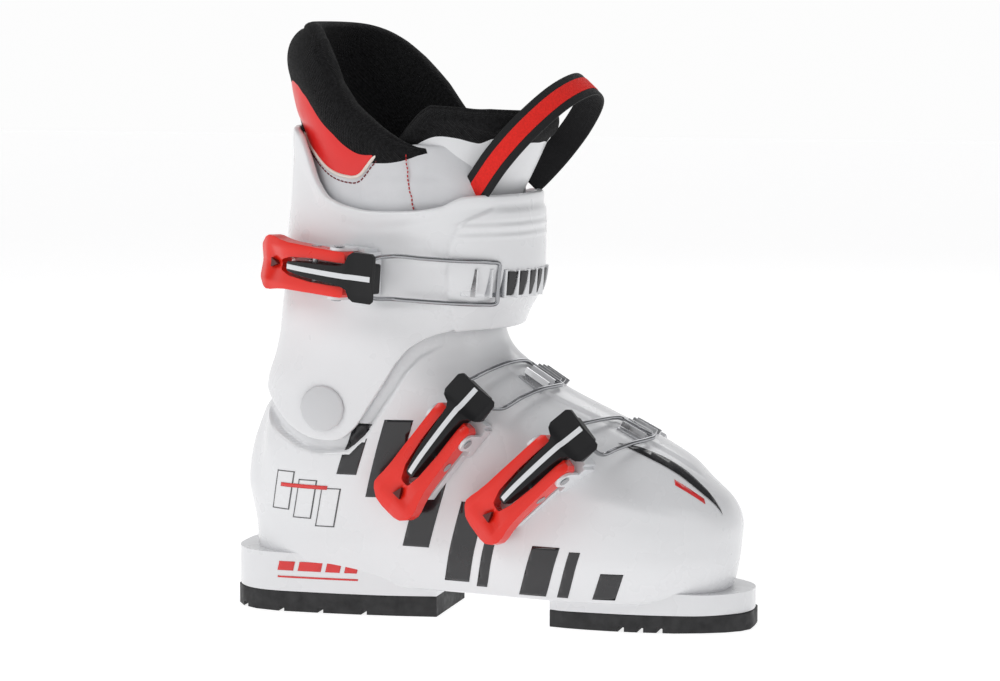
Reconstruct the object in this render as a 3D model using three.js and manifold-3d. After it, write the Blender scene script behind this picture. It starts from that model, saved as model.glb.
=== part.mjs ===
// Right-foot alpine ski boot for a child: a hinged two-piece plastic shell, three over-centre buckles
// with wire bails and toothed ladders, rubber sole pads, and a soft liner with a tongue and a pull loop.
//
// Frame, in millimetres: +X points at the toe, +Y at the medial side (the other foot) and +Z up. The origin
// lies on the heel pad's resting face, so the boot stands on z = 0 and y = 0 is the sole's centreline.
import * as THREE from "three";
import { mergeVertices } from "three/addons/utils/BufferGeometryUtils.js";
import Module from "manifold-3d";

const wasm = await Module();
wasm.setup();

// ---------------------------------------------------------------- driving dimensions
const WALL = 3.4; // lower shell's wall
const CUFF_WALL = 3.2;
const GAP = 0.3; // between pieces that touch
const TOE_PAD_TOP = 9;
const HEEL_PAD_TOP = 10.8;
const TOE_LEDGE_TOP = 20; // a binding's toe piece holds the sole here
const HEEL_LEDGE_TOP = 32; // and its heel piece here
const TOE_LUG = { rear: 137, tip: 239.5, halfWidth: 34.5, nose: 36 };
const HEEL_LUG = { rear: -44, front: 73, halfWidth: 34, frontHalfWidth: 26, nose: 30 };
const SCREW = { shank: 1.9, head: 4.2, headHeight: 3 };
const TOE_SCREWS = [[160, 21], [160, -21], [215, 19], [215, -19]];
const HEEL_SCREWS = [[-24, 0], [22, 20], [22, -20]];
const SHELL_FLOOR = 19.5;
const BOARD_TOP = 26;
const PIVOT = { x: 17, z: 113, shank: 5, cap: 12.4 }; // ankle hinge of the cuff
const RIVET_HEAD = { radius: 7.6, low: 35, high: 36.8 }; // on the inside of the shell
const LINER_GAP = 1;
const LINER_WALL = 5;
const SHAFT_X = 50; // the shaft's middle, which the top of the cuff and liner turn about
const SHAFT_TWIST = THREE.MathUtils.degToRad(-9); // outwards, as the leg does
const RING_STEPS = 11; // points along each side of a ring

// one buckle, in its own frame: x along the strap from the pivot, y across it and z away from the shell
const LEVER = { tail: -59, head: 8, half: 11.6, flare: 14.6, slotHalf: 5.9, slotEnd: -37 };
const BASE = { rear: -40, front: 11, half: 13.4, ear: 1.5, floor: -9.5, earRadius: 5 };
const HINGE = { x: -17, z: -1, radius: 1.5 }; // the carrier's hinge in the lever
const CARRIER = { rear: -33, front: 27, half: 5.4, headHalf: 13.4 };
const WIRE = { x: 22, z: -2.2, radius: 1.15, half: 11.3 }; // the bail's hinge in the carrier
const PIN_RADIUS = 1.6;
const LADDER = { half: 7.4, strip: 1.7, tooth: 3.1, pitch: 7.4, toothBase: 2.2, hookGap: 1.7 };

// ---------------------------------------------------------------- materials
function finish(color, roughness, metalness = 0) {
  return new THREE.MeshStandardMaterial({ color, roughness, metalness });
}

const MATERIALS = {
  shell: finish(0xe9e9ec, 0.28),
  cap: finish(0xd3d4d6, 0.3),
  rubber: finish(0x1c1c1e, 0.75),
  lever: finish(0xd8201a, 0.35),
  carrier: finish(0x17181a, 0.4),
  steel: finish(0xc9ccd0, 0.22, 1),
  alloy: finish(0xb9bcc2, 0.35, 1),
  fleece: finish(0x151517, 0.95),
  linerSkin: finish(0xd9dadd, 0.55),
  board: finish(0x8b8f96, 0.6),
  footbed: finish(0x2a2c31, 0.9),
  webbing: finish(0xb3202a, 0.8),
};

// ---------------------------------------------------------------- solids and meshes
const point2 = (x, z) => new THREE.Vector2(x, z);
const clamp = THREE.MathUtils.clamp;
const toRadians = THREE.MathUtils.degToRad;

/** A closed BufferGeometry as a manifold-3d solid. */
function solid(geometry) {
  const bare = new THREE.BufferGeometry();
  bare.setAttribute("position", geometry.getAttribute("position").clone());
  if (geometry.index) bare.setIndex(geometry.index.clone());
  const merged = mergeVertices(bare, 1e-4);
  return new wasm.Manifold(
    new wasm.Mesh({
      numProp: 3,
      vertProperties: new Float32Array(merged.attributes.position.array),
      triVerts: new Uint32Array(merged.index.array),
    }),
  );
}

/** A manifold-3d solid as a BufferGeometry. */
function geometryOf(body) {
  const { vertProperties, triVerts } = body.getMesh();
  const geometry = new THREE.BufferGeometry();
  geometry.setAttribute("position", new THREE.BufferAttribute(new Float32Array(vertProperties), 3));
  geometry.setIndex(new THREE.BufferAttribute(new Uint32Array(triVerts), 1));
  return geometry;
}

/** Skins a stack of rings, each listed counter-clockwise seen from above, and caps both ends. */
function loft(rings) {
  const count = rings[0].length;
  const points = rings.flat();
  const triangles = [];
  for (let k = 0; k + 1 < rings.length; k++) {
    for (let i = 0; i < count; i++) {
      const next = (i + 1) % count;
      const [a, b, c, d] = [k * count + i, k * count + next, (k + 1) * count + i, (k + 1) * count + next];
      triangles.push(a, b, c, b, d, c);
    }
  }
  const cap = (ring, start, turned) => {
    const middle = ring.reduce((sum, p) => sum.add(p), new THREE.Vector3()).divideScalar(count);
    points.push(middle);
    for (let i = 0; i < count; i++) {
      const edge = [start + i, start + ((i + 1) % count)];
      triangles.push(points.length - 1, ...(turned ? edge.reverse() : edge));
    }
  };
  cap(rings[0], 0, true);
  cap(rings.at(-1), (rings.length - 1) * count, false);
  return new THREE.BufferGeometry().setFromPoints(points).setIndex(triangles);
}

/** A plan outline extruded upwards from z = low to z = high. */
function slab(shape, low, high, curveSegments = 4) {
  const geometry = new THREE.ExtrudeGeometry(shape, { depth: high - low, bevelEnabled: false, curveSegments });
  return geometry.translate(0, 0, low);
}

/** A side-view outline of [x, z] pairs, extruded across from y = -half to y = half. */
function sideView(pairs, half) {
  const shape = new THREE.Shape(pairs.map(([x, z]) => point2(x, z)));
  const geometry = new THREE.ExtrudeGeometry(shape, { depth: 2 * half, bevelEnabled: false });
  return geometry.rotateX(Math.PI / 2).translate(0, half, 0);
}

/** A cylinder along Y from y = from to y = to. */
function barY(radius, from, to, x = 0, z = 0, sides = 12) {
  const geometry = new THREE.CylinderGeometry(radius, radius, Math.abs(to - from), sides);
  return geometry.translate(x, (from + to) / 2, z);
}

/** A cylinder along Z from z = low to z = high. */
function barZ(radius, low, high, x = 0, y = 0, sides = 8) {
  return new THREE.CylinderGeometry(radius, radius, high - low, sides)
    .rotateX(Math.PI / 2)
    .translate(x, y, (low + high) / 2);
}

function box(sizeX, sizeY, sizeZ, x, y, z) {
  return new THREE.BoxGeometry(sizeX, sizeY, sizeZ).translate(x, y, z);
}

/** Turns the top of the shaft outwards: nothing at the ankle, the whole twist from the buckle up. */
function twisted(geometry) {
  const position = geometry.getAttribute("position");
  const p = new THREE.Vector3();
  for (let i = 0; i < position.count; i++) {
    p.fromBufferAttribute(position, i).sub(new THREE.Vector3(SHAFT_X, 0, 0));
    p.applyAxisAngle(new THREE.Vector3(0, 0, 1), SHAFT_TWIST * THREE.MathUtils.smoothstep(p.z, 150, 225));
    position.setXYZ(i, p.x + SHAFT_X, p.y, p.z);
  }
  return geometry;
}

// ---------------------------------------------------------------- body surfaces
/** Catmull-Rom interpolation of values given at rising stations. */
function smooth(stations, values, at) {
  const last = stations.length - 1;
  const x = clamp(at, stations[0], stations[last]);
  let i = 0;
  while (i < last - 1 && x > stations[i + 1]) i++;
  const t = (x - stations[i]) / (stations[i + 1] - stations[i]);
  const v = (k) => values[clamp(k, 0, last)];
  const [p, q, r, s] = [v(i - 1), v(i), v(i + 1), v(i + 2)];
  return q + 0.5 * t * (r - p + t * (2 * p - 5 * q + 4 * r - s + t * (3 * (q - r) + s - p)));
}

/** How far a ring has rounded out, from 0 at its end to 1 where its side runs straight. */
const rounding = (share, power) => (share >= 1 ? 1 : Math.pow(1 - Math.pow(1 - share, power), 1 / power));

/**
 * A body of the boot as a fan of rings. Each ring lies in a plane across the boot that passes through a point
 * of the rear profile and one of the front profile; its half-width comes from a field over x and z.
 */
class Body {
  constructor({ rear, front, halfWidth, rearRound, frontRound, power }) {
    const path = (pairs) => new THREE.CatmullRomCurve3(pairs.map(([x, z]) => new THREE.Vector3(x, 0, z)));
    Object.assign(this, { halfWidth, rearRound, frontRound, power });
    this.rear = path(rear);
    this.front = path(front);
    this.last = rear.length - 1;
  }

  /** The profile point at ring number k, moved inwards by inset. */
  profile(path, k, inset, side) {
    const t = clamp(k / this.last, 0, 1);
    const tangent = path.getTangent(t);
    const inward = new THREE.Vector3(side * tangent.z, 0, -side * tangent.x);
    return path.getPoint(t).addScaledVector(inward, inset);
  }

  /** Ring number k, moved inwards by inset and kept above floor(x). */
  ring(k, inset = 0, floor = () => -Infinity) {
    const rear = this.profile(this.rear, k, inset, 1);
    const front = this.profile(this.front, k, inset, -1);
    const length = rear.distanceTo(front);
    const side = [];
    for (let j = 0; j <= RING_STEPS; j++) {
      const along = (length * (1 - Math.cos((Math.PI * j) / RING_STEPS))) / 2;
      const p = rear.clone().lerp(front, along / length);
      const round =
        rounding(along / (this.rearRound - inset), this.power) *
        rounding((length - along) / (this.frontRound - inset), this.power);
      p.y = -(this.halfWidth(p.x, p.z) - inset) * round;
      p.z = Math.max(p.z, floor(p.x));
      side.push(p);
    }
    const mirrored = side.slice(1, -1).map((p) => new THREE.Vector3(p.x, -p.y, p.z));
    return [...side, ...mirrored.reverse()];
  }

  /** A closed solid from ring number first to last, in count rings. */
  loft(first, last, count, inset = 0, floor = undefined) {
    const numbers = Array.from({ length: count }, (_, i) => first + ((last - first) * i) / (count - 1));
    return loft(numbers.map((k) => this.ring(k, inset, floor)));
  }
}

const SHELL_X = [-40, 0, 17, 60, 100, 130, 160, 190, 220];
const SHELL_Z = [15, 40, 70, 92, 110, 165];
const SHELL_HALF_WIDTHS = [
  [31, 32, 31, 30, 34, 38.5, 40, 38, 33],
  [34, 36.5, 37, 38, 43, 47.5, 49.5, 48, 42],
  [35, 39, 41, 41, 43, 47, 49, 46.5, 42],
  [35, 41, 42.4, 42.4, 42, 43, 43, 40, 38],
  [34, 41, 42.4, 42.4, 41, 39, 38, 38, 38],
  [34, 40, 42, 42, 39, 38, 38, 38, 38],
];
const lowerBody = new Body({
  rear: [
    [-31, 15], [-33, 22], [-34.8, 32], [-35.2, 43], [-37, 54], [-39.4, 66], [-38.6, 78], [-36, 90],
    [-32, 101], [-28.5, 109], [-24.2, 114.5], [-22.9, 120], [-21, 126], [-19.2, 131], [-17.4, 134.5],
    [-15.4, 138],
  ],
  front: [
    [216, 15], [227, 20], [230.6, 32], [232, 44], [232.5, 55], [228.5, 64.5], [219.5, 73.5], [205, 85.5],
    [186, 96.5], [163, 107.5], [139, 119], [122, 129], [110.5, 138], [105.5, 145], [102.5, 153], [100, 164],
  ],
  halfWidth: (x, z) => smooth(SHELL_Z, SHELL_HALF_WIDTHS.map((row) => smooth(SHELL_X, row, x)), z),
  rearRound: 46,
  frontRound: 62,
  power: 2.3,
});

const CUFF_Z = [95, 140, 170, 200, 225, 262, 315];
const CUFF_HALF_WIDTHS = [47.4, 47.4, 48.5, 50.5, 52.5, 54, 54];
const cuffHalfWidth = (x, z) => smooth(CUFF_Z, CUFF_HALF_WIDTHS, z);
const cuffBody = new Body({
  rear: [
    [-31.5, 90], [-28.5, 112], [-26.5, 126], [-22.5, 138], [-19.8, 150], [-18.5, 162],
    [-16.6, 178], [-14.6, 205], [-12.2, 222], [-10.8, 240], [-8.5, 264],
  ],
  front: [
    [99, 90], [104, 118], [106.5, 138], [109.5, 152], [113.5, 163], [118.5, 172],
    [121.5, 182], [122.5, 203], [122.5, 222], [121, 242], [118, 264],
  ],
  halfWidth: cuffHalfWidth,
  rearRound: 50,
  frontRound: 56,
  power: 2.2,
});

const SHAFT_Z = [130, 166, 186, 205, 225, 262, 315];
const SHAFT_HALF_WIDTHS = [36, 33.2, 42.4, 46, 47.6, 48.6, 47];
const TONGUE_Z = [158, 180, 200, 225, 250, 275];
const TONGUE_HALF_WIDTHS = [30, 34, 37.5, 38.6, 37.6, 36];

// the liner's shaft: inside the cuff up to its rim, then standing above it
const shaftBody = new Body({
  rear: [
    [-2, 124], [-3, 142], [-7, 158], [-9.6, 180], [-8.6, 205], [-6.4, 224], [-4.6, 243],
    [-4.4, 259], [-8.5, 270], [-13, 290], [-11, 304], [-4, 314],
  ],
  front: [
    [84, 146], [90, 157], [97, 170], [106, 184], [112.5, 200], [114.5, 215], [112, 228],
    [106, 244], [99, 260], [90, 278], [80, 300], [72, 318],
  ],
  halfWidth: (x, z) => smooth(SHAFT_Z, SHAFT_HALF_WIDTHS, z),
  rearRound: 52,
  frontRound: 57,
  power: 2.2,
});

// the tongue lies inside the liner's shaft and leans forward above the cuff
const tongueBody = new Body({
  rear: [[20, 160], [20, 175], [22, 195], [24, 215], [25, 232], [25, 246], [25, 260], [25, 274]],
  front: [[80, 156], [91, 170], [99.5, 188], [105, 206], [109.5, 220], [118, 236], [126, 252], [133, 268]],
  halfWidth: (x, z) => smooth(TONGUE_Z, TONGUE_HALF_WIDTHS, z),
  rearRound: 40,
  frontRound: 52,
  power: 2.2,
});

// ---------------------------------------------------------------- the lower shell and what it holds
const boot = new THREE.Group();
boot.name = "ski_boot";

/** Adds one named sub-part to a group and returns its mesh. */
function addPart(name, geometry, material, parent = boot) {
  const mesh = new THREE.Mesh(geometry, material);
  mesh.name = name;
  parent.add(mesh);
  return mesh;
}

/** The toe lug's plan: straight sides that taper to a blunt nose. */
function toeOutline() {
  const { rear, tip, halfWidth, nose } = TOE_LUG;
  const shape = new THREE.Shape();
  shape.moveTo(rear, -halfWidth + 2);
  shape.quadraticCurveTo(rear + 18, -halfWidth - 2, rear + 44, -halfWidth);
  shape.lineTo(tip - nose, -halfWidth + 3);
  shape.quadraticCurveTo(tip - 4, -halfWidth + 12, tip, -10);
  shape.quadraticCurveTo(tip + 1, 0, tip, 10);
  shape.quadraticCurveTo(tip - 4, halfWidth - 12, tip - nose, halfWidth - 3);
  shape.lineTo(rear + 44, halfWidth);
  shape.quadraticCurveTo(rear + 18, halfWidth + 2, rear, halfWidth - 2);
  return shape;
}

/** The heel lug's plan: round behind and tapering towards the waist. */
function heelOutline() {
  const { rear, front, halfWidth, frontHalfWidth, nose } = HEEL_LUG;
  const shape = new THREE.Shape();
  shape.moveTo(front, -frontHalfWidth);
  shape.lineTo(front, frontHalfWidth);
  shape.quadraticCurveTo(30, halfWidth, rear + nose, halfWidth);
  shape.quadraticCurveTo(rear, halfWidth - 2, rear, 6);
  shape.lineTo(rear, -6);
  shape.quadraticCurveTo(rear, -halfWidth + 2, rear + nose, -halfWidth);
  shape.quadraticCurveTo(30, -halfWidth, front, -frontHalfWidth);
  return shape;
}

/** Every sole screw's shank or head space, wider by clearance. */
function screwSpaces(screws, shankClearance) {
  return screws.map(([x, y]) => solid(barZ(SCREW.shank + shankClearance, -1, 17.5, x, y)));
}

const cutAll = (body, cutters) => cutters.reduce((left, cutter) => left.subtract(cutter), body);

/** The moulded lower shell with its two sole ledges, open at the throat. */
function lowerShell() {
  const outer = solid(lowerBody.loft(0, 15, 16));
  const toeLedge = solid(slab(toeOutline(), TOE_PAD_TOP + GAP, TOE_LEDGE_TOP));
  const heelLedge = solid(slab(heelOutline(), HEEL_PAD_TOP + GAP, HEEL_LEDGE_TOP));
  const notch = solid(box(30, 80, 12, HEEL_LUG.front + 4, 0, HEEL_LEDGE_TOP - 4));
  const room = solid(lowerBody.loft(0.6, 15, 13, WALL, () => SHELL_FLOOR));
  const mouth = solid(lowerBody.loft(13, 15, 3, WALL).translate(0, 0, 4));
  const pivots = solid(barY(PIVOT.shank + GAP, -60, 60, PIVOT.x, PIVOT.z));
  const holes = [...screwSpaces(TOE_SCREWS, 0.25), ...screwSpaces(HEEL_SCREWS, 0.25), pivots];
  return cutAll(outer.add(toeLedge).add(heelLedge.subtract(notch)), [room, mouth, ...holes]);
}

/** A rubber sole pad with screw holes, counterbored for the heads, and transverse tread grooves. */
function solePad(outline, top, screws, grooves) {
  const heads = screws.map(([x, y]) => solid(barZ(SCREW.head + GAP, -1, SCREW.headHeight + 1.4, x, y)));
  const tread = grooves.map((x) => solid(box(3, 90, 2 * 2.4, x, 0, 0)));
  return cutAll(solid(slab(outline, 0, top)), [...screwSpaces(screws, 0.25), ...heads, ...tread]);
}

/** A sole screw: a countersunk head in the pad and a shank up into the ledge. */
function soleScrew([x, y]) {
  const profile = [
    [0, 1.1], [SCREW.head, 1.1], [SCREW.head, 1.1 + SCREW.headHeight], [SCREW.shank, 1.1 + SCREW.headHeight],
    [SCREW.shank, 16.5], [0, 17.2],
  ];
  const geometry = new THREE.LatheGeometry(profile.map(([r, z]) => point2(r, z)), 8);
  return geometry.rotateX(Math.PI / 2).translate(x, y, 0);
}

const toePad = solePad(toeOutline(), TOE_PAD_TOP, TOE_SCREWS, [176, 186, 196]);
const heelPad = solePad(heelOutline(), HEEL_PAD_TOP, HEEL_SCREWS, [-35, -12, 10, 34]);
addPart("toe_sole_pad", geometryOf(toePad), MATERIALS.rubber);
addPart("heel_sole_pad", geometryOf(heelPad), MATERIALS.rubber);
TOE_SCREWS.forEach((at, i) => addPart(`toe_sole_screw_${i + 1}`, soleScrew(at), MATERIALS.steel));
HEEL_SCREWS.forEach((at, i) => addPart(`heel_sole_screw_${i + 1}`, soleScrew(at), MATERIALS.steel));

// ---------------------------------------------------------------- board, footbed and the liner's foot
const board = solid(lowerBody.loft(0.6, 1.6, 3, WALL + 2.2, () => SHELL_FLOOR + GAP));
const boardCut = solid(box(320, 100, 40, 100, 0, BOARD_TOP + 20));
addPart("boot_board", geometryOf(board.subtract(boardCut)), MATERIALS.board);

const FOOT_FLOOR = BOARD_TOP + 0.6;
const linerFootOuter = solid(lowerBody.loft(1.2, 13, 10, WALL + LINER_GAP, () => FOOT_FLOOR));
const linerFootInner = solid(lowerBody.loft(1.2, 13, 10, WALL + LINER_GAP + LINER_WALL, () => FOOT_FLOOR + 4));
const ankleLine = [[-60, 121], [20, 124], [70, 130], [150, 146], [150, 220], [-60, 220]];
const ankleCut = solid(sideView(ankleLine, 80));
const rivetPockets = [-1, 1].map((side) =>
  solid(barY(RIVET_HEAD.radius + 0.6, side * (RIVET_HEAD.low - 0.6), side * 60, PIVOT.x, PIVOT.z)),
);
const linerFoot = cutAll(linerFootOuter, [linerFootInner, ankleCut, ...rivetPockets]);
addPart("liner_foot", geometryOf(linerFoot), MATERIALS.linerSkin);

const footbedBody = solid(lowerBody.loft(1.2, 3, 6, WALL + LINER_GAP + LINER_WALL + 3, () => FOOT_FLOOR + 4.3));
const footbedCut = solid(box(320, 100, 60, 100, 0, FOOT_FLOOR + 8.5 + 30));
addPart("footbed", geometryOf(footbedBody.subtract(footbedCut)), MATERIALS.footbed);

// ---------------------------------------------------------------- cuff
/** The side view that the cuff keeps: down around the ankle hinge, and a rim that is high behind. */
function cuffOutline() {
  const lower = [
    [-60, 121], [-24, 119.5], [-15, 112.5], [-5, 103.8], [6, 98], [17, 95.8], [27, 97], [35.5, 104],
    [43, 115.5], [50, 126], [57, 137], [65, 146], [76, 152], [90, 155.5], [150, 154],
  ];
  const rim = [
    [150, 227], [112, 227], [102, 226], [93, 220.5], [79, 218], [52, 217.4], [38, 220], [28, 224.5], [21, 233],
    [15, 246], [7, 258], [-5, 262], [-60, 262],
  ];
  return [...lower, ...rim];
}

/** The cuff's wall, cut to its outline and bored for the ankle rivets. */
function cuffWall() {
  const room = solid(cuffBody.loft(0, 10, 11, CUFF_WALL));
  const foot = solid(cuffBody.loft(0, 1, 2, CUFF_WALL).translate(0, 0, -3));
  const wall = cutAll(solid(cuffBody.loft(0, 10, 11)), [room, foot]);
  const cut = wall.intersect(solid(sideView(cuffOutline(), 90)));
  const bore = barY(PIVOT.shank + 0.15, -60, 60, PIVOT.x, PIVOT.z, 16);
  return solid(twisted(geometryOf(cut))).subtract(solid(bore));
}

/** An ankle rivet on one side: a domed cap outside the cuff and a shank through cuff and shell. */
function ankleRivet(side) {
  const outer = 47.4 + GAP;
  const profile = [
    [0, RIVET_HEAD.low], [RIVET_HEAD.radius, RIVET_HEAD.low], [RIVET_HEAD.radius, RIVET_HEAD.high],
    [PIVOT.shank, RIVET_HEAD.high], [PIVOT.shank, outer],
    [PIVOT.cap, outer], [PIVOT.cap - 0.6, outer + 1.2], [PIVOT.cap * 0.6, outer + 2.2], [0, outer + 2.6],
  ];
  return new THREE.LatheGeometry(profile.map(([r, y]) => point2(r, y)), 16)
    .rotateX(side < 0 ? Math.PI : 0)
    .translate(PIVOT.x, 0, PIVOT.z);
}

addPart("ankle_rivet_lateral", ankleRivet(-1), MATERIALS.cap);
addPart("ankle_rivet_medial", ankleRivet(1), MATERIALS.cap);

// ---------------------------------------------------------------- the liner's shaft, collar, tongue and loop
/** The wall of a soft body: the solid less its inside, which is carried on above the top ring. */
function softWall(body, last, count, wall) {
  const inside = solid(body.loft(0, last, count, wall));
  const mouth = solid(body.loft(last - 0.5, last, 2, wall).translate(0, 0, 3));
  return cutAll(solid(body.loft(0, last, count)), [inside, mouth]);
}

const shaftOutline = [
  [-60, 129], [20, 134], [60, 148], [76, 163], [92, 181], [150, 190],
  [150, 195], [106, 200], [103, 222], [99, 238], [92, 246], [80, 249], [72, 256], [64, 266],
  [52, 281], [38, 294], [22, 305], [8, 311], [-6, 313], [-60, 313],
];
const collarLine = [
  [-60, 290], [-8, 290], [10, 286], [18, 273], [28, 261], [39, 252], [50, 247.5], [62, 246],
  [78, 249.5], [78, 330], [-60, 330],
];
const collarRegion = (drop) => solid(sideView(collarLine, 90).translate(0, 0, -drop));
const tongueSpace = solid(tongueBody.loft(0, 7, 7, -0.6));
const shaftWall = softWall(shaftBody, 11, 10, LINER_WALL);
const shaftSolid = shaftWall.subtract(tongueSpace).intersect(solid(sideView(shaftOutline, 90)));
addPart("liner_shaft", twisted(geometryOf(shaftSolid.subtract(collarRegion(GAP)))), MATERIALS.linerSkin);
addPart("liner_collar", twisted(geometryOf(shaftSolid.intersect(collarRegion(0)))), MATERIALS.fleece);

const tongueFront = [
  [66, 176], [76, 171], [100, 183], [150, 193], [150, 300], [74, 300], [70, 262], [64, 240], [62, 210],
];
const tongueSolid = softWall(tongueBody, 7, 7, 7).intersect(solid(sideView(tongueFront, 90)));
addPart("liner_tongue", twisted(geometryOf(tongueSolid)), MATERIALS.linerSkin);

/** A webbing arch over the tongue's front, 20 mm wide, leaning forwards. */
function pullLoop() {
  const width = 20;
  const thick = 2;
  const arch = (grow) => new THREE.CatmullRomCurve3(
    [[-34, 0], [-37, 16], [-34, 36], [-21, 56], [0, 64], [21, 56], [34, 36], [37, 16], [34, 0]].map(
      ([y, rise]) => new THREE.Vector3(y * (1 + grow / 36), rise + grow * (rise / 64), 0),
    ),
  ).getPoints(24);
  const outline = [...arch(thick), ...arch(0).reverse()].map((p) => point2(p.x, p.y));
  const band = new THREE.ExtrudeGeometry(new THREE.Shape(outline), { depth: width, bevelEnabled: false });
  return band.translate(0, 0, -width / 2);
}

const loop = addPart("pull_loop", pullLoop(), MATERIALS.webbing);
const LOOP_LEAN = new THREE.Vector3(0.66, 0, 0.75).normalize();
const loopTurn = new THREE.Matrix4().makeRotationZ(SHAFT_TWIST);
const loopAcross = new THREE.Vector3(0, 1, 0).applyMatrix4(loopTurn);
const loopRise = LOOP_LEAN.applyMatrix4(loopTurn);
const loopBasis = new THREE.Matrix4().makeBasis(loopAcross, loopRise, loopAcross.clone().cross(loopRise));
loop.quaternion.setFromRotationMatrix(loopBasis);
loop.position.set(109.3, -9.4, 234.5);

// ---------------------------------------------------------------- straps: the plane each buckle pulls in
/** The plane of one buckle and its ladder, wrapped over a body from the lateral side to the medial one. */
class Strap {
  constructor({ skin, center, travel, side, pivotAlong = 0, pivotOut = 0 }) {
    this.skin = skin;
    this.center = new THREE.Vector3(...center);
    this.travel = new THREE.Vector3(...travel).normalize();
    this.outward = new THREE.Vector3(...side).cross(this.travel).normalize();
    this.side = this.travel.clone().cross(this.outward);
    this.pivot = this.center.clone().addScaledVector(this.travel, pivotAlong);
    this.pivot.addScaledVector(this.outward, pivotOut);
  }

  /** How far the skin is from the centre at an angle, measured from the outward direction. */
  reach(angle, shift = 0) {
    const direction = this.direction(angle);
    const origin = this.center.clone().addScaledVector(this.side, shift);
    const hits = new THREE.Raycaster(origin, direction).intersectObject(this.skin);
    return hits.at(-1).distance;
  }

  direction(angle) {
    return this.outward.clone().multiplyScalar(Math.cos(angle)).addScaledVector(this.travel, Math.sin(angle));
  }

  /** The point at an angle, a height above the skin, shifted sideways. */
  at(angle, height, shift = 0) {
    const reach = this.reach(angle, shift) + height;
    return this.center.clone().addScaledVector(this.side, shift).addScaledVector(this.direction(angle), reach);
  }

  /** Moves a point in or out, straight away from the strap's axis, to a height above the skin. */
  settle(point, height) {
    const offset = point.clone().sub(this.center);
    const origin = this.center.clone().addScaledVector(this.side, offset.dot(this.side));
    const direction = point.clone().sub(origin).normalize();
    const hits = new THREE.Raycaster(origin, direction).intersectObject(this.skin);
    return origin.addScaledVector(direction, hits.at(-1).distance + height);
  }

  /** A ladder's outline point in the strap's plane. */
  flat(angle, height) {
    const reach = this.reach(angle) + height;
    return point2(reach * Math.cos(angle), reach * Math.sin(angle));
  }

  /** Places a group whose x, y and z are the travel, the side reversed and outward, at the lever's pivot. */
  frame() {
    const group = new THREE.Group();
    const basis = new THREE.Matrix4().makeBasis(this.travel, this.side.clone().negate(), this.outward);
    group.quaternion.setFromRotationMatrix(basis);
    group.position.copy(this.pivot);
    boot.add(group);
    return group;
  }
}

const skinOf = (geometry) => new THREE.Mesh(geometry, new THREE.MeshBasicMaterial({ side: THREE.DoubleSide }));
const shellSkin = skinOf(lowerBody.loft(0, 15, 16));
const cuffSkin = skinOf(twisted(cuffBody.loft(0, 10, 11)));
const shellGrown = solid(lowerBody.loft(0, 15, 16, -GAP));
const cuffGrown = solid(twisted(cuffBody.loft(0, 10, 11, -GAP)));
const shellCavity = solid(lowerBody.loft(0.6, 15, 13, WALL - 0.4));
const cuffCavity = solid(twisted(cuffBody.loft(0, 10, 11, WALL - 0.5)));

/** The angle that a ladder's tooth pitch covers. */
const toothStep = (strap, ladder) => LADDER.pitch / strap.reach(toRadians(ladder.tooth));

/** A toothed ladder bent over the skin, from one angle to another. */
function ladderSolid(strap, ladder, grown) {
  const [from, to, first] = [ladder.from, ladder.to, ladder.tooth].map(toRadians);
  const span = (start, end, steps, height) =>
    Array.from({ length: steps + 1 }, (_, i) => strap.flat(start + ((end - start) * i) / steps, height));
  const radius = strap.reach(first);
  const step = toothStep(strap, ladder);
  const outline = [...span(from, to, 12, -0.6).reverse(), strap.flat(from, LADDER.strip)];
  for (let i = 0; i < ladder.teeth; i++) {
    const profile = [[0, 0], [1.1, LADDER.tooth], [1.9, LADDER.tooth], [LADDER.toothBase, 0]];
    for (const [along, rise] of profile) {
      outline.push(strap.flat(first + i * step + along / radius, LADDER.strip + rise));
    }
  }
  outline.push(...span(first + ladder.teeth * step, to, 5, LADDER.strip));
  const shape = new THREE.Shape(outline);
  const strip = new THREE.ExtrudeGeometry(shape, { depth: 2 * LADDER.half, bevelEnabled: false });
  const turn = new THREE.Matrix4().makeBasis(strap.outward, strap.travel, strap.side.clone().negate());
  strip.translate(0, 0, -LADDER.half).applyMatrix4(turn.setPosition(strap.center));
  return solid(strip).subtract(grown);
}

/** The angle of the bail's crossbar: just behind the tooth that it hooks. */
function hookAngle(strap, ladder) {
  const behind = (LADDER.toothBase + LADDER.hookGap + WIRE.radius) / strap.reach(toRadians(ladder.tooth));
  return toRadians(ladder.tooth) + ladder.hooked * toothStep(strap, ladder) + behind;
}

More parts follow.
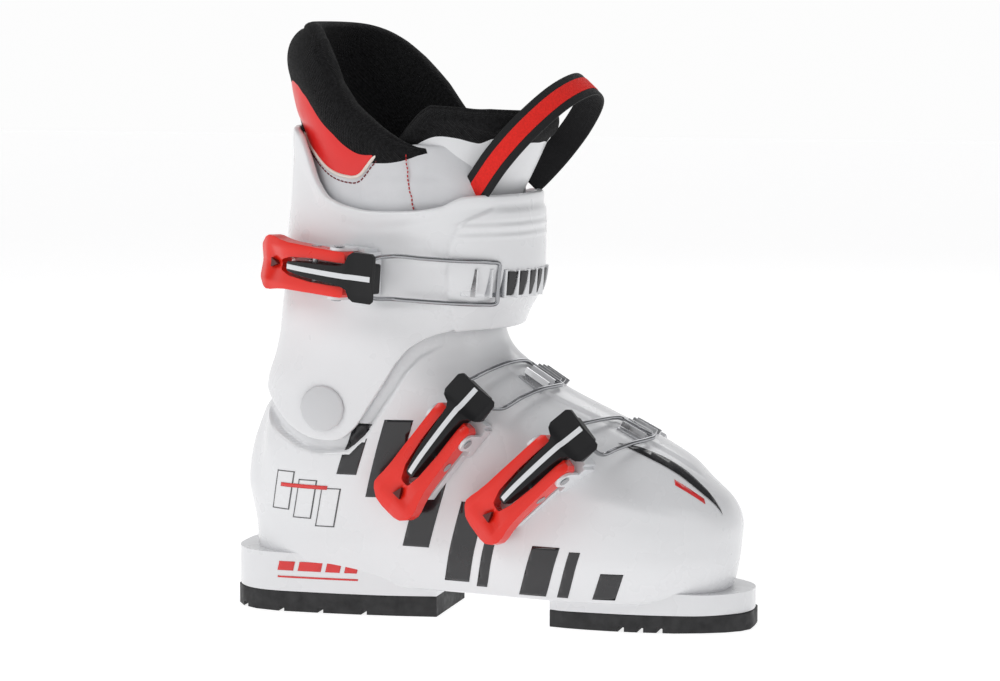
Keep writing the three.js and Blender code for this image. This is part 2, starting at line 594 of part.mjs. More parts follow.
// ---------------------------------------------------------------- one buckle
/** The fork-shaped lever: a slotted plan with a flared tail, cut to a curved side view. */
function leverSolid() {
  const { tail, head, half, flare, slotHalf, slotEnd } = LEVER;
  const plan = new THREE.Shape();
  plan.moveTo(head, -half);
  plan.lineTo(head, -slotHalf);
  plan.lineTo(slotEnd + slotHalf, -slotHalf);
  plan.absarc(slotEnd + slotHalf, 0, slotHalf, -Math.PI / 2, Math.PI / 2, true);
  plan.lineTo(head, slotHalf);
  plan.lineTo(head, half);
  plan.lineTo(-36, half);
  plan.quadraticCurveTo(-46, half, -49, flare);
  plan.quadraticCurveTo(tail, flare - 2, tail, 0);
  plan.quadraticCurveTo(tail, -flare + 2, -49, -flare);
  plan.quadraticCurveTo(-46, -half, -36, -half);
  const view = [
    [6.6, -3.6], [7.4, 1], [5.6, 4.6], [-12, 5.4], [-34, 4.4], [-50, 1], [-59.5, -4.5], [-57, -8], [-46, -6.4],
    [-32, -5.4], [-10, -5.4], [0, -6.2], [4, -5.6],
  ];
  const body = solid(slab(plan, -12, 12)).intersect(solid(sideView(view, 20)));
  const holes = [barY(PIN_RADIUS + 0.25, -20, 20), barY(HINGE.radius + 0.25, -20, 20, HINGE.x, HINGE.z)];
  return cutAll(body, holes.map(solid));
}

/** The bar that slides between the fork's legs and carries the wire under its wide head. */
function carrierSolid() {
  const { rear, front, half, headHalf } = CARRIER;
  const plan = new THREE.Shape();
  plan.moveTo(rear, -half + 2);
  plan.lineTo(rear + 5, -half);
  plan.lineTo(9, -half);
  plan.quadraticCurveTo(11.5, -half - 0.5, 13, -headHalf + 2);
  plan.quadraticCurveTo(13.6, -headHalf, 16, -headHalf);
  plan.lineTo(front - 3, -headHalf + 0.8);
  plan.quadraticCurveTo(front, -headHalf + 1, front, -headHalf + 4);
  plan.lineTo(front, headHalf - 4);
  plan.quadraticCurveTo(front, headHalf - 1, front - 3, headHalf - 0.8);
  plan.lineTo(16, headHalf);
  plan.quadraticCurveTo(13.6, headHalf, 13, headHalf - 2);
  plan.quadraticCurveTo(11.5, half + 0.5, 9, half);
  plan.lineTo(rear + 5, half);
  plan.lineTo(rear, half - 2);
  const view = [
    [-34, 0], [-33, 5.6], [-20, 7.6], [0, 8.4], [14, 7.6], [28, 3.8], [28, 1.2], [14, 0.2], [9, -3.4],
    [-22, -4.4], [-32, -3],
  ];
  const bar = solid(slab(plan, -12, 12)).intersect(solid(sideView(view, 20)));
  const boss = solid(box(8, 16, 6, WIRE.x, 0, WIRE.z));
  const holes = [
    barY(HINGE.radius + 0.25, -20, 20, HINGE.x, HINGE.z),
    barY(WIRE.radius + GAP, -20, 20, WIRE.x, WIRE.z),
  ];
  return cutAll(bar.add(boss), holes.map(solid));
}

/** The plate that the buckle stands on, fitted to the skin, with two ears for the lever's pin. */
function baseSolid(strap, grown, cavity) {
  const { rear, front, half, ear, floor, earRadius } = BASE;
  const length = front - rear;
  const plate = solid(box(length, 2 * (half - 1.8), 13, (front + rear) / 2, 0, floor - 6.5));
  const ears = [-1, 1].map((side) => {
    const y = side * (half - ear / 2);
    const post = solid(box(2 * earRadius, ear, 15, 0, y, -7.5));
    const foot = solid(box(2 * earRadius + 8, 3.2, 12, 0, side * (half - 1.6), floor - 6));
    return post.add(solid(barY(earRadius, y - ear / 2, y + ear / 2))).add(foot);
  });
  const body = ears.reduce((sum, part) => sum.add(part), plate);
  const drilled = cutAll(body, [solid(barY(PIN_RADIUS + 0.25, -20, 20))]);
  const placed = solid(geometryOf(drilled).applyMatrix4(placement(strap)));
  return cutAll(placed.subtract(grown), baseRivets(strap, cavity, 0.25));
}

const placement = (strap) =>
  new THREE.Matrix4()
    .makeBasis(strap.travel, strap.side.clone().negate(), strap.outward)
    .setPosition(strap.pivot);

/** The two rivets that hold a base plate to its body, in place, with some clearance added. */
function baseRivets(strap, cavity, clearance = 0) {
  return [-28, 7.5].map((x) => {
    const shank = solid(barZ(1.9 + clearance, -20, BASE.floor + 0.9, x));
    const head = solid(barZ(3.4 + clearance, BASE.floor - 0.8 - clearance, BASE.floor + 1.3, x));
    return solid(geometryOf(shank.add(head)).applyMatrix4(placement(strap))).subtract(cavity);
  });
}

/** The pin that the carrier turns on, across the lever, with a low head at each end. */
function carrierPin() {
  const outer = LEVER.half + 0.9;
  const shank = solid(barY(HINGE.radius, -outer, outer, HINGE.x, HINGE.z));
  const head = (side) => solid(barY(2.7, side * (LEVER.half + GAP), side * outer, HINGE.x, HINGE.z));
  return geometryOf(shank.add(head(-1)).add(head(1)));
}

/** The wire loop: through the carrier's boss, over the body on both sides and behind a tooth. */
function bailGeometry(strap, ladderStrap, hookedAt) {
  const rise = LADDER.strip + WIRE.radius + 0.5;
  const hinge = (shift) =>
    strap.pivot
      .clone()
      .addScaledVector(strap.travel, WIRE.x)
      .addScaledVector(strap.outward, WIRE.z)
      .addScaledVector(strap.side, shift);
  const hook = (shift) => ladderStrap.at(hookedAt, rise).addScaledVector(ladderStrap.side, shift);
  const leg = (sign) =>
    [0.16, 0.4, 0.65, 0.88].map((share) => {
      const chord = hinge(sign * WIRE.half).lerp(hook(sign * WIRE.half), share);
      return strap.settle(chord, rise + (1 - share) * (1 - share) * 7);
    });
  const side = (sign) => [
    ...[0.35, 4, 7.5, 9.6].map((shift) => hinge(sign * shift)),
    ...leg(sign),
    ...[WIRE.half - 1.2, 5].map((shift) => hook(sign * shift)),
  ];
  const path = new THREE.CatmullRomCurve3([...side(1), ...side(-1).reverse()], false, "centripetal");
  const section = new THREE.Shape().absarc(0, 0, WIRE.radius, 0, 2 * Math.PI);
  const options = { steps: 46, curveSegments: 3, extrudePath: path, bevelEnabled: false };
  return new THREE.ExtrudeGeometry(section, options);
}

/** Builds one whole buckle on a body. */
function addBuckle(name, strap, ladderStrap, ladder, { grown, cavity }) {
  const frame = strap.frame();
  const outer = BASE.half + 0.9;
  addPart(`${name}_base`, geometryOf(baseSolid(strap, grown, cavity)), MATERIALS.alloy);
  baseRivets(strap, cavity).forEach((rivet, i) => {
    addPart(`${name}_base_rivet_${i + 1}`, geometryOf(rivet), MATERIALS.steel);
  });
  addPart(`${name}_lever`, geometryOf(leverSolid()), MATERIALS.lever, frame);
  for (const [end, side] of [["rear", 1], ["front", -1]]) {
    const pin = solid(barY(PIN_RADIUS, side * (LEVER.slotHalf + 0.4), side * outer));
    const head = solid(barY(2.8, side * (BASE.half + GAP), side * outer));
    addPart(`${name}_lever_pin_${end}`, geometryOf(pin.add(head)), MATERIALS.steel, frame);
  }
  addPart(`${name}_carrier`, geometryOf(carrierSolid()), MATERIALS.carrier, frame);
  addPart(`${name}_carrier_pin`, carrierPin(), MATERIALS.steel, frame);
  addPart(`${name}_bail`, bailGeometry(strap, ladderStrap, hookAngle(ladderStrap, ladder)), MATERIALS.steel);
  addPart(`${name}_ladder`, geometryOf(ladderSolid(ladderStrap, ladder, grown)), MATERIALS.alloy);
}

const instep = new Strap({
  skin: shellSkin,
  center: [94, 0, 92],
  travel: [0.616, 0, 0.788],
  side: [0.768, -0.224, -0.601],
  pivotAlong: 9,
  pivotOut: 56.7,
});
const instepLadder = new Strap({
  skin: shellSkin,
  center: [102, 0, 87],
  travel: [0.51, 0, 0.86],
  side: [0.855, -0.12, -0.505],
});
const toe = new Strap({
  skin: shellSkin,
  center: [150, 0, 78],
  travel: [0.731, -0.06, 0.682],
  side: [0.66, -0.24, -0.708],
  pivotAlong: 9,
  pivotOut: 61,
});
const toeLadder = new Strap({
  skin: shellSkin,
  center: [162.4, 0, 69],
  travel: [0.43, 0, 0.9],
  side: [0.895, -0.12, -0.43],
});
const shaft = new Strap({
  skin: cuffSkin,
  center: [50, 0, 185],
  travel: [0.912, -0.406, -0.07],
  side: [-0.07, 0, -1],
  pivotAlong: 9.8,
  pivotOut: 66.4,
});

const onShell = { grown: shellGrown, cavity: shellCavity };
const onCuff = { grown: cuffGrown, cavity: cuffCavity };
addBuckle("instep", instep, instepLadder, { from: 66, to: 134, tooth: 72, teeth: 5, hooked: 1 }, onShell);
addBuckle("toe", toe, toeLadder, { from: 64, to: 134, tooth: 70, teeth: 4, hooked: 0 }, onShell);
addBuckle("cuff_buckle", shaft, shaft, { from: 67, to: 124, tooth: 71, teeth: 7, hooked: 1 }, onCuff);

const shellRivetHoles = [instep, toe].flatMap((strap) => baseRivets(strap, shellCavity, 0.25));
addPart("lower_shell", geometryOf(cutAll(lowerShell(), shellRivetHoles)), MATERIALS.shell);
addPart("cuff", geometryOf(cutAll(cuffWall(), baseRivets(shaft, cuffCavity, 0.25))), MATERIALS.shell);

export default boot;
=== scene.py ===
"""The looks of a child's right alpine ski boot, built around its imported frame.

Lengths are in millimetres here and turn into metres when a mesh is made. +X points at the toe, +Y at
the medial side and +Z up, and the origin is on the heel pad's resting face.
"""

import logging
import math
from collections.abc import Callable, Iterable, Sequence
from dataclasses import dataclass
from enum import Enum

import bmesh
import bpy
import numpy as np
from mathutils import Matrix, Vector
from mathutils.bvhtree import BVHTree


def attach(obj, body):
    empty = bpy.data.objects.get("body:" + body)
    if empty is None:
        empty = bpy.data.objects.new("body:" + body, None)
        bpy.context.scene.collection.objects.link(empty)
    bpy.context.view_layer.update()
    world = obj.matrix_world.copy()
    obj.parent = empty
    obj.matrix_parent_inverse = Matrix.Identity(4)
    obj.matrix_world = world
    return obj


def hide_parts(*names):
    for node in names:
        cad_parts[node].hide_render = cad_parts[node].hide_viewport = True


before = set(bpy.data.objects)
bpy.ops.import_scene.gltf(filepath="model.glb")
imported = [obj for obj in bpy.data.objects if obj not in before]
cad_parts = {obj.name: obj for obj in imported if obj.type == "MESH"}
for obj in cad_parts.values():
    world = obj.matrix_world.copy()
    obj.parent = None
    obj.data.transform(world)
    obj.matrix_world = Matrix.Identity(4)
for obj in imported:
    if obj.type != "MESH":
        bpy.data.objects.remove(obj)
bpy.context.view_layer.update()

MM = 0.001
SHAFT_X = 50.0
SHAFT_TWIST = math.radians(-9)
log = logging.getLogger("ski_boot")
Array = np.ndarray
Field = Callable[[Array, Array], Array]


# ---------------------------------------------------------------- numbers
def step(low: float, high: float, at: Array) -> Array:
    """Rises smoothly from 0 at low to 1 at high."""
    t = np.clip((np.asarray(at, float) - low) / (high - low), 0, 1)
    return t * t * (3 - 2 * t)


def rows_between(stations: Sequence[float], rows: Array, at: Array) -> Array:
    """Catmull-Rom interpolation down the first axis of rows.

    Args:
        stations: rising stations, one for each row.
        rows: values with the shape of at behind their first axis.
        at: where to interpolate, clamped to the stations.

    Returns:
        The interpolated values, with the shape of at.
    """
    s = np.asarray(stations, float)
    x = np.clip(at, s[0], s[-1])
    i = np.clip(np.searchsorted(s, x, side="left") - 1, 0, len(s) - 2)
    t = (x - s[i]) / (s[i + 1] - s[i])
    p, q, r, e = (
        np.take_along_axis(rows, np.clip(i + k, 0, len(s) - 1)[None], 0)[0] for k in (-1, 0, 1, 2)
    )
    return q + 0.5 * t * (r - p + t * (2 * p - 5 * q + 4 * r - e + t * (3 * (q - r) + e - p)))


def smooth(stations: Sequence[float], values: Sequence[float], at: Array) -> Array:
    """Catmull-Rom interpolation of plain values given at rising stations."""
    at = np.asarray(at, float)
    rows = np.multiply.outer(np.asarray(values, float), np.ones_like(at))
    return rows_between(stations, rows, at)


def curve(points: Sequence[Sequence[float]], at: Array) -> Array:
    """Heights of a line given as (x, z) pairs with rising x, at the given x."""
    return smooth([p[0] for p in points], [p[1] for p in points], at)


class Path:
    """A centripetal Catmull-Rom curve through points of two or three coordinates."""

    def __init__(self, points: Sequence[Sequence[float]]) -> None:
        """Keeps the points with one extrapolated at each end."""
        p = np.asarray(points, float)
        self.points = np.vstack([2 * p[0] - p[1], p, 2 * p[-1] - p[-2]])
        self.spans = len(p) - 1

    def at(self, t: Array) -> Array:
        """Positions at shares t of the way, counted in spans.

        Args:
            t: shares of the way, each from 0 to 1.

        Returns:
            One position for each share.
        """
        t = np.clip(np.atleast_1d(np.asarray(t, float)), 0, 1) * self.spans
        i = np.clip(np.floor(t).astype(int), 0, self.spans - 1)
        w = (t - i)[:, None]
        a, b, c, d = (self.points[i + k] for k in range(4))
        gaps = [np.sqrt(np.linalg.norm(q - p, axis=1))[:, None] for p, q in ((a, b), (b, c), (c, d))]
        d0, d1, d2 = (np.maximum(g, 1e-4) for g in gaps)
        m1 = ((b - a) / d0 - (c - a) / (d0 + d1) + (c - b) / d1) * d1
        m2 = ((c - b) / d1 - (d - b) / (d1 + d2) + (d - c) / d2) * d1
        return b + w * (m1 + w * (3 * (c - b) - 2 * m1 - m2 + w * (2 * (b - c) + m1 + m2)))

    def tangent(self, t: Array) -> Array:
        """Unit directions at shares t of the way."""
        t = np.atleast_1d(np.asarray(t, float))
        along = self.at(np.minimum(t + 1e-4, 1)) - self.at(np.maximum(t - 1e-4, 0))
        return along / np.linalg.norm(along, axis=1)[:, None]

    def even(self, count: int) -> Array:
        """Points at equal distances along the curve."""
        fine = self.at(np.linspace(0, 1, 40 * self.spans))
        length = np.concatenate([[0], np.cumsum(np.linalg.norm(np.diff(fine, axis=0), axis=1))])
        want = np.linspace(0, length[-1], count)
        return np.stack([np.interp(want, length, fine[:, k]) for k in range(fine.shape[1])], 1)


def twisted(points: Array) -> Array:
    """Turns the top of the shaft outwards: nothing at the ankle, all of it from the cuff buckle up."""
    angle = SHAFT_TWIST * step(150, 225, points[..., 2])
    x, y = points[..., 0] - SHAFT_X, points[..., 1]
    turned = np.stack([x * np.cos(angle) - y * np.sin(angle), x * np.sin(angle) + y * np.cos(angle)], -1)
    return np.concatenate([turned + [SHAFT_X, 0], points[..., 2:]], -1)


def noise(points: Array, wave: float, seed: int) -> Array:
    """A smooth, repeatable ripple from -1 to 1 with about the given wavelength.

    Args:
        points: the places to take it at.
        wave: the wavelength in millimetres.
        seed: a number that picks the pattern.

    Returns:
        One value for each point.
    """
    chooser = np.random.default_rng(seed)
    total = np.zeros(points.shape[:-1])
    for _ in range(7):
        way = chooser.normal(size=3)
        way *= 2 * math.pi / (wave * chooser.uniform(0.7, 1.5) * np.linalg.norm(way))
        total += np.sin(points @ way + chooser.uniform(0, 2 * math.pi))
    return total / 7


# ---------------------------------------------------------------- body surfaces
@dataclass(frozen=True)
class Body:
    """A surface of the boot as a fan of rings between a rear and a front profile."""

    rear: Path
    front: Path
    half_width: Field
    rear_round: float
    front_round: float
    power: float

    def point(self, k: Array, a: Array, inset: float = 0.0) -> Array:
        """Points on ring k at a turn a.

        Args:
            k: ring numbers.
            a: turns round the ring from the rear, positive over the lateral side, up to half a turn.
            inset: how far inside the surface.

        Returns:
            Points with one more axis than k.
        """
        shape = np.shape(k)
        k, a = np.ravel(k), np.ravel(a)
        ends = []
        for path, side in ((self.rear, 1), (self.front, -1)):
            t = k / path.spans
            tangent = path.tangent(t)
            ends.append(path.at(t) + inset * side * np.stack([tangent[:, 1], -tangent[:, 0]], 1))
        rear, front = ends
        share = (1 - np.cos(2 * np.pi * a)) / 2
        length = np.linalg.norm(front - rear, axis=1)
        flat = rear + (front - rear) * share[:, None]
        rounded = np.ones_like(share)
        for distance, radius in ((length * share, self.rear_round), (length * (1 - share), self.front_round)):
            inside = np.clip(1 - distance / (radius - inset), 0, 1)
            rounded *= (1 - inside**self.power) ** (1 / self.power)
        y = -np.sign(np.sin(2 * np.pi * a)) * (self.half_width(flat[:, 0], flat[:, 1]) - inset) * rounded
        return np.stack([flat[:, 0], y, flat[:, 1]], 1).reshape(*shape, 3)

    def ring_at(self, line: Callable[[Array], Array], a: Array) -> Array:
        """Ring numbers where each turn's column meets a line given as height over x.

        Args:
            line: a height for each x.
            a: the turns.

        Returns:
            One ring number for each turn.
        """
        low, high = np.zeros_like(a), np.full_like(a, float(self.rear.spans))
        for _ in range(34):
            middle = (low + high) / 2
            p = self.point(middle, a)
            under = p[..., 2] < line(p[..., 0])
            low, high = np.where(under, middle, low), np.where(under, high, middle)
        return (low + high) / 2


def side_field(xs: Sequence[float], zs: Sequence[float], widths: Sequence[Sequence[float]]) -> Field:
    """A half-width over x and z from a table with one row for each z.

    Args:
        xs: the columns' x.
        zs: the rows' heights.
        widths: the half-width at each row and column.

    Returns:
        A function of x and z.
    """

    def half_width(x: Array, z: Array) -> Array:
        """The half-width at x and z."""
        return rows_between(zs, np.stack([smooth(xs, row, x) for row in widths]), z)

    return half_width


def height_field(zs: Sequence[float], widths: Sequence[float]) -> Field:
    """A half-width that depends only on z."""
    return lambda x, z: smooth(zs, widths, z)


SHELL = Body(
    rear=Path(
        [
            (-31, 15), (-33, 22), (-34.8, 32), (-35.2, 43), (-37, 54), (-39.4, 66), (-38.6, 78), (-36, 90),
            (-32, 101), (-28.5, 109), (-24.2, 114.5), (-22.9, 120), (-21, 126), (-19.2, 131), (-17.4, 134.5),
            (-15.4, 138),
        ]
    ),
    front=Path(
        [
            (216, 15), (227, 20), (230.6, 32), (232, 44), (232.5, 55), (228.5, 64.5), (219.5, 73.5),
            (205, 85.5), (186, 96.5), (163, 107.5), (139, 119), (122, 129), (110.5, 138), (105.5, 145),
            (102.5, 153), (100, 164),
        ]
    ),
    half_width=side_field(
        [-40, 0, 17, 60, 100, 130, 160, 190, 220],
        [15, 40, 70, 92, 110, 165],
        [
            [31, 32, 31, 30, 34, 38.5, 40, 38, 33],
            [34, 36.5, 37, 38, 43, 47.5, 49.5, 48, 42],
            [35, 39, 41, 41, 43, 47, 49, 46.5, 42],
            [35, 41, 42.4, 42.4, 42, 43, 43, 40, 38],
            [34, 41, 42.4, 42.4, 41, 39, 38, 38, 38],
            [34, 40, 42, 42, 39, 38, 38, 38, 38],
        ],
    ),
    rear_round=46,
    front_round=62,
    power=2.3,
)
CUFF = Body(
    rear=Path(
        [
            (-31.5, 90), (-28.5, 112), (-26.5, 126), (-22.5, 138), (-19.8, 150), (-18.5, 162), (-16.6, 178),
            (-14.6, 205), (-12.2, 222), (-10.8, 240), (-8.5, 264),
        ]
    ),
    front=Path(
        [
            (99, 90), (104, 118), (106.5, 138), (109.5, 152), (113.5, 163), (118.5, 172), (121.5, 182),
            (122.5, 203), (122.5, 222), (121, 242), (118, 264),
        ]
    ),
    half_width=height_field([95, 140, 170, 200, 225, 262, 315], [47.4, 47.4, 48.5, 50.5, 52.5, 54, 54]),
    rear_round=50,
    front_round=56,
    power=2.2,
)
SHAFT = Body(
    rear=Path(
        [
            (-2, 124), (-3, 142), (-7, 158), (-9.6, 180), (-8.6, 205), (-6.4, 224), (-4.6, 243), (-4.4, 259),
            (-8.5, 270), (-13, 290), (-11, 304), (-4, 314),
        ]
    ),
    front=Path(
        [
            (84, 146), (90, 157), (97, 170), (106, 184), (112.5, 200), (114.5, 215), (112, 228), (106, 244),
            (99, 260), (90, 278), (80, 300), (72, 318),
        ]
    ),
    half_width=height_field([130, 166, 186, 205, 225, 262, 315], [36, 33.2, 42.4, 46, 47.6, 48.6, 47]),
    rear_round=52,
    front_round=57,
    power=2.2,
)
TONGUE = Body(
    rear=Path([(20, 160), (20, 175), (22, 195), (24, 215), (25, 232), (25, 246), (25, 260), (25, 274)]),
    front=Path(
        [(80, 156), (91, 170), (99.5, 188), (105, 206), (109.5, 220), (118, 236), (126, 252), (133, 268)]
    ),
    half_width=height_field([158, 180, 200, 225, 250, 275], [30, 34, 37.5, 38.6, 37.6, 36]),
    rear_round=40,
    front_round=52,
    power=2.2,
)
CUFF_FOOT = [
    (-60, 121), (-24, 119.5), (-15, 112.5), (-5, 103.8), (6, 98), (17, 95.8), (27, 97), (35.5, 104),
    (43, 115.5), (50, 126), (57, 137), (65, 146), (76, 152), (90, 155.5), (110, 156), (150, 156),
]
CUFF_RIM = [
    (-60, 261), (-5, 260), (7, 256), (15, 245), (21, 233), (28, 224.5), (38, 220), (52, 217.4), (79, 218),
    (93, 220.5), (102, 225), (112, 226), (150, 226),
]
COLLAR_LINE = [
    (-60, 288), (-8, 287), (4, 285), (10.6, 279), (18, 270), (28, 259), (39, 250.5), (50, 246.5), (62, 245.5),
    (78, 248), (130, 248),
]
LINER_TOP = [
    (-60, 312), (-6, 312), (8, 310), (22, 304), (38, 293), (52, 280.5), (64, 266), (72, 256), (80, 250),
    (92, 245), (99, 237), (103, 222), (106, 200), (150, 190),
]


# ---------------------------------------------------------------- meshes
def make(name: str, points: Array, faces: Iterable[Sequence[int]]) -> bpy.types.Object:
    """Makes an object from points in millimetres, with its faces turned outwards and shaded smooth.

    Args:
        name: the object's name.
        points: its corners in millimetres.
        faces: corner numbers of each face.

    Returns:
        The object.
    """
    mesh = bpy.data.meshes.new(name)
    mesh.from_pydata((np.reshape(points, (-1, 3)) * MM).tolist(), [], [list(f) for f in faces])
    bm = bmesh.new()
    bm.from_mesh(mesh)
    bmesh.ops.remove_doubles(bm, verts=bm.verts, dist=1e-6)
    bmesh.ops.recalc_face_normals(bm, faces=bm.faces)
    bm.to_mesh(mesh)
    bm.free()
    mesh.polygons.foreach_set("use_smooth", [True] * len(mesh.polygons))
    obj = bpy.data.objects.new(name, mesh)
    bpy.context.scene.collection.objects.link(obj)
    return obj


def grid_faces(rows: int, columns: int, close_rows: bool, close_columns: bool) -> Array:
    """Quads of a grid of rows of points.

    Args:
        rows: how many rows there are.
        columns: points in each row.
        close_rows: whether the last row joins the first.
        close_columns: whether each row closes on itself.

    Returns:
        One row of four indices for each quad.
    """
    r = np.arange(rows if close_rows else rows - 1)[:, None]
    c = np.arange(columns if close_columns else columns - 1)[None, :]
    r2, c2 = (r + 1) % rows, (c + 1) % columns
    corners = (r * columns + c, r * columns + c2, r2 * columns + c2, r2 * columns + c)
    return np.stack(np.broadcast_arrays(*corners), -1).reshape(-1, 4)


def normals_of(grid: Array, wrap: bool) -> Array:
    """Outward unit normals of a grid.

    Args:
        grid: rows of points that rise, whose columns run from the rear over the lateral side.
        wrap: whether the columns go all the way round.

    Returns:
        One unit vector for each point.
    """
    if wrap:
        across = np.roll(grid, -1, 1) - np.roll(grid, 1, 1)
    else:
        across = np.gradient(grid, axis=1)
    normal = np.cross(across, np.gradient(grid, axis=0))
    return normal / np.maximum(np.linalg.norm(normal, axis=2)[..., None], 1e-9)


def wall(name: str, outer: Array, inner: Array, wrap: bool, roundness: float = 1.0) -> bpy.types.Object:
    """A closed wall between an outer and an inner grid, with rounded lips.

    Args:
        name: the object's name.
        outer: outer grid of rows of points, from the foot up.
        inner: inner grid of the same columns.
        wrap: whether the columns go all the way round.
        roundness: how far the lips stand out, as a share of half the wall.

    Returns:
        The new object.
    """

    def lip(start: Array, end: Array, away: Array, count: int = 6) -> list[Array]:
        """Rows of a half-round lip from one edge to the other."""
        middle, radius = (start + end) / 2, np.linalg.norm(start - end, axis=1)[:, None] / 2
        away = away / np.maximum(np.linalg.norm(away, axis=1)[:, None], 1e-9)
        angles = np.linspace(0, np.pi, count + 2)[1:-1]
        return [middle + (start - middle) * np.cos(t) + away * radius * roundness * np.sin(t) for t in angles]

    rows = list(outer)
    rows += lip(outer[-1], inner[-1], outer[-1] - outer[-2])
    rows += list(inner[::-1])
    rows += lip(inner[0], outer[0], outer[0] - outer[1])
    grid = np.stack(rows)
    faces = [tuple(f) for f in grid_faces(len(rows), grid.shape[1], True, wrap)]
    if not wrap:
        width = grid.shape[1]
        for column in (0, width - 1):
            faces.append(tuple(k * width + column for k in range(len(rows))))
    return make(name, grid, faces)


def tube(
    name: str, points: Array, radius: float | Array, sides: int = 10, closed: bool = False
) -> bpy.types.Object:
    """A round tube along points, with flat ends, or closed into a loop.

    Args:
        name: the object's name.
        points: the centreline in millimetres.
        radius: one radius, or one for each point.
        sides: how many sides the section has.
        closed: whether the last point joins the first.

    Returns:
        The new object.
    """
    points = np.asarray(points, float)
    around = (np.roll(points, -1, 0) - np.roll(points, 1, 0)) if closed else np.gradient(points, axis=0)
    along = around / np.linalg.norm(around, axis=1)[:, None]
    normal = np.cross(along[0], (0.3, 0.2, 0.93))
    rings = []
    radii = np.broadcast_to(radius, len(points))
    for p, t, r in zip(points, along, radii):
        normal = normal - t * (normal @ t)
        normal /= np.linalg.norm(normal)
        other = np.cross(t, normal)
        turns = np.arange(sides) * 2 * np.pi / sides
        rings.append(p + r * (np.cos(turns)[:, None] * normal + np.sin(turns)[:, None] * other))
    faces = [tuple(f) for f in grid_faces(len(rings), sides, closed, True)]
    if not closed:
        faces += [tuple(range(sides)), tuple(len(points) * sides - 1 - k for k in range(sides))]
    return make(name, np.stack(rings), faces)


def apply_modifiers(obj: bpy.types.Object) -> None:
    """Bakes an object's modifiers into its mesh."""
    bpy.context.view_layer.update()
    result = obj.evaluated_get(bpy.context.evaluated_depsgraph_get())
    mesh = bpy.data.meshes.new_from_object(result)
    obj.modifiers.clear()
    obj.data = mesh


def soften(obj: bpy.types.Object, width: float, segments: int = 3, angle: float = 32.0) -> bpy.types.Object:
    """Rounds an object's sharp edges.

    Args:
        obj: the object, whose modifiers are applied.
        width: the bevel's width in millimetres.
        segments: steps round each edge.
        angle: edges sharper than this many degrees are rounded.

    Returns:
        The same object.
    """
    bevel = obj.modifiers.new("edge", "BEVEL")
    bevel.width = width * MM
    bevel.segments = segments
    bevel.limit_method = "ANGLE"
    bevel.angle_limit = math.radians(angle)
    bevel.use_clamp_overlap = True
    weighted = obj.modifiers.new("shade", "WEIGHTED_NORMAL")
    weighted.keep_sharp = True
    apply_modifiers(obj)
    return obj


def prism(
    name: str,
    outline: Sequence[Sequence[float]],
    low: float,
    high: float,
    cuts: tuple[Sequence[float], Sequence[float]] = ((), ()),
    shape: Callable[[Array], Array] | None = None,
) -> bpy.types.Object:
    """A plan outline raised into a solid, cut into strips and bent into shape.

    Args:
        name: the object's name.
        outline: (x, y) pairs in millimetres, in order.
        low: height of the underside.
        high: height of the top.
        cuts: stations in x and in y where the faces are cut.
        shape: a function that moves an array of points after cutting.

    Returns:
        The new object.
    """
    bm = bmesh.new()
    face = bm.faces.new([bm.verts.new((x, y, low)) for x, y in outline])
    raised = bmesh.ops.extrude_face_region(bm, geom=[face])
    tops = [v for v in raised["geom"] if isinstance(v, bmesh.types.BMVert)]
    bmesh.ops.translate(bm, verts=tops, vec=(0, 0, high - low))
    for axis, stations in enumerate(cuts):
        for at in stations:
            place, across = [0.0, 0.0, 0.0], [0.0, 0.0, 0.0]
            place[axis], across[axis] = at, 1.0
            everything = [*bm.verts, *bm.edges, *bm.faces]
            bmesh.ops.bisect_plane(bm, geom=everything, dist=1e-4, plane_co=place, plane_no=across)
    if shape is not None:
        moved = shape(np.array([v.co for v in bm.verts]))
        for vert, co in zip(bm.verts, moved):
            vert.co = co
    bmesh.ops.recalc_face_normals(bm, faces=bm.faces)
    bmesh.ops.scale(bm, vec=(MM, MM, MM), verts=bm.verts)
    mesh = bpy.data.meshes.new(name)
    bm.to_mesh(mesh)
    bm.free()
    mesh.polygons.foreach_set("use_smooth", [True] * len(mesh.polygons))
    obj = bpy.data.objects.new(name, mesh)
    bpy.context.scene.collection.objects.link(obj)
    return obj


def copy_of(node: str, name: str, width: float, segments: int = 3) -> bpy.types.Object:
    """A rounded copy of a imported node's mesh that stands for that node.

    Args:
        node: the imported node's name.
        name: the copy's name.
        width: how far its edges are rounded.
        segments: steps in the rounding.

    Returns:
        The copy.
    """
    bm = bmesh.new()
    bm.from_mesh(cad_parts[node].data)
    bmesh.ops.remove_doubles(bm, verts=bm.verts, dist=2e-6)
    bmesh.ops.dissolve_limit(bm, angle_limit=math.radians(1.5), verts=bm.verts, edges=bm.edges)
    mesh = bpy.data.meshes.new(name)
    bm.to_mesh(mesh)
    bm.free()
    mesh.polygons.foreach_set("use_smooth", [True] * len(mesh.polygons))
    obj = bpy.data.objects.new(name, mesh)
    bpy.context.scene.collection.objects.link(obj)
    soften(obj, width, segments)
    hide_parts(node)
    return obj


def tree_of(obj: bpy.types.Object) -> BVHTree:
    """A search tree of an object's mesh, in metres."""
    return BVHTree.FromPolygons([v.co for v in obj.data.vertices], [p.vertices for p in obj.data.polygons])


def joined(name: str, objects: Sequence[bpy.types.Object]) -> bpy.types.Object:
    """Joins objects into the first one and renames it, keeping each one's material.

    Args:
        name: the result's name.
        objects: what is joined.

    Returns:
        The joined object.
    """
    bpy.ops.object.select_all(action="DESELECT")
    for obj in objects:
        obj.select_set(True)
    bpy.context.view_layer.objects.active = objects[0]
    bpy.ops.object.join()
    objects[0].name = name
    return objects[0]


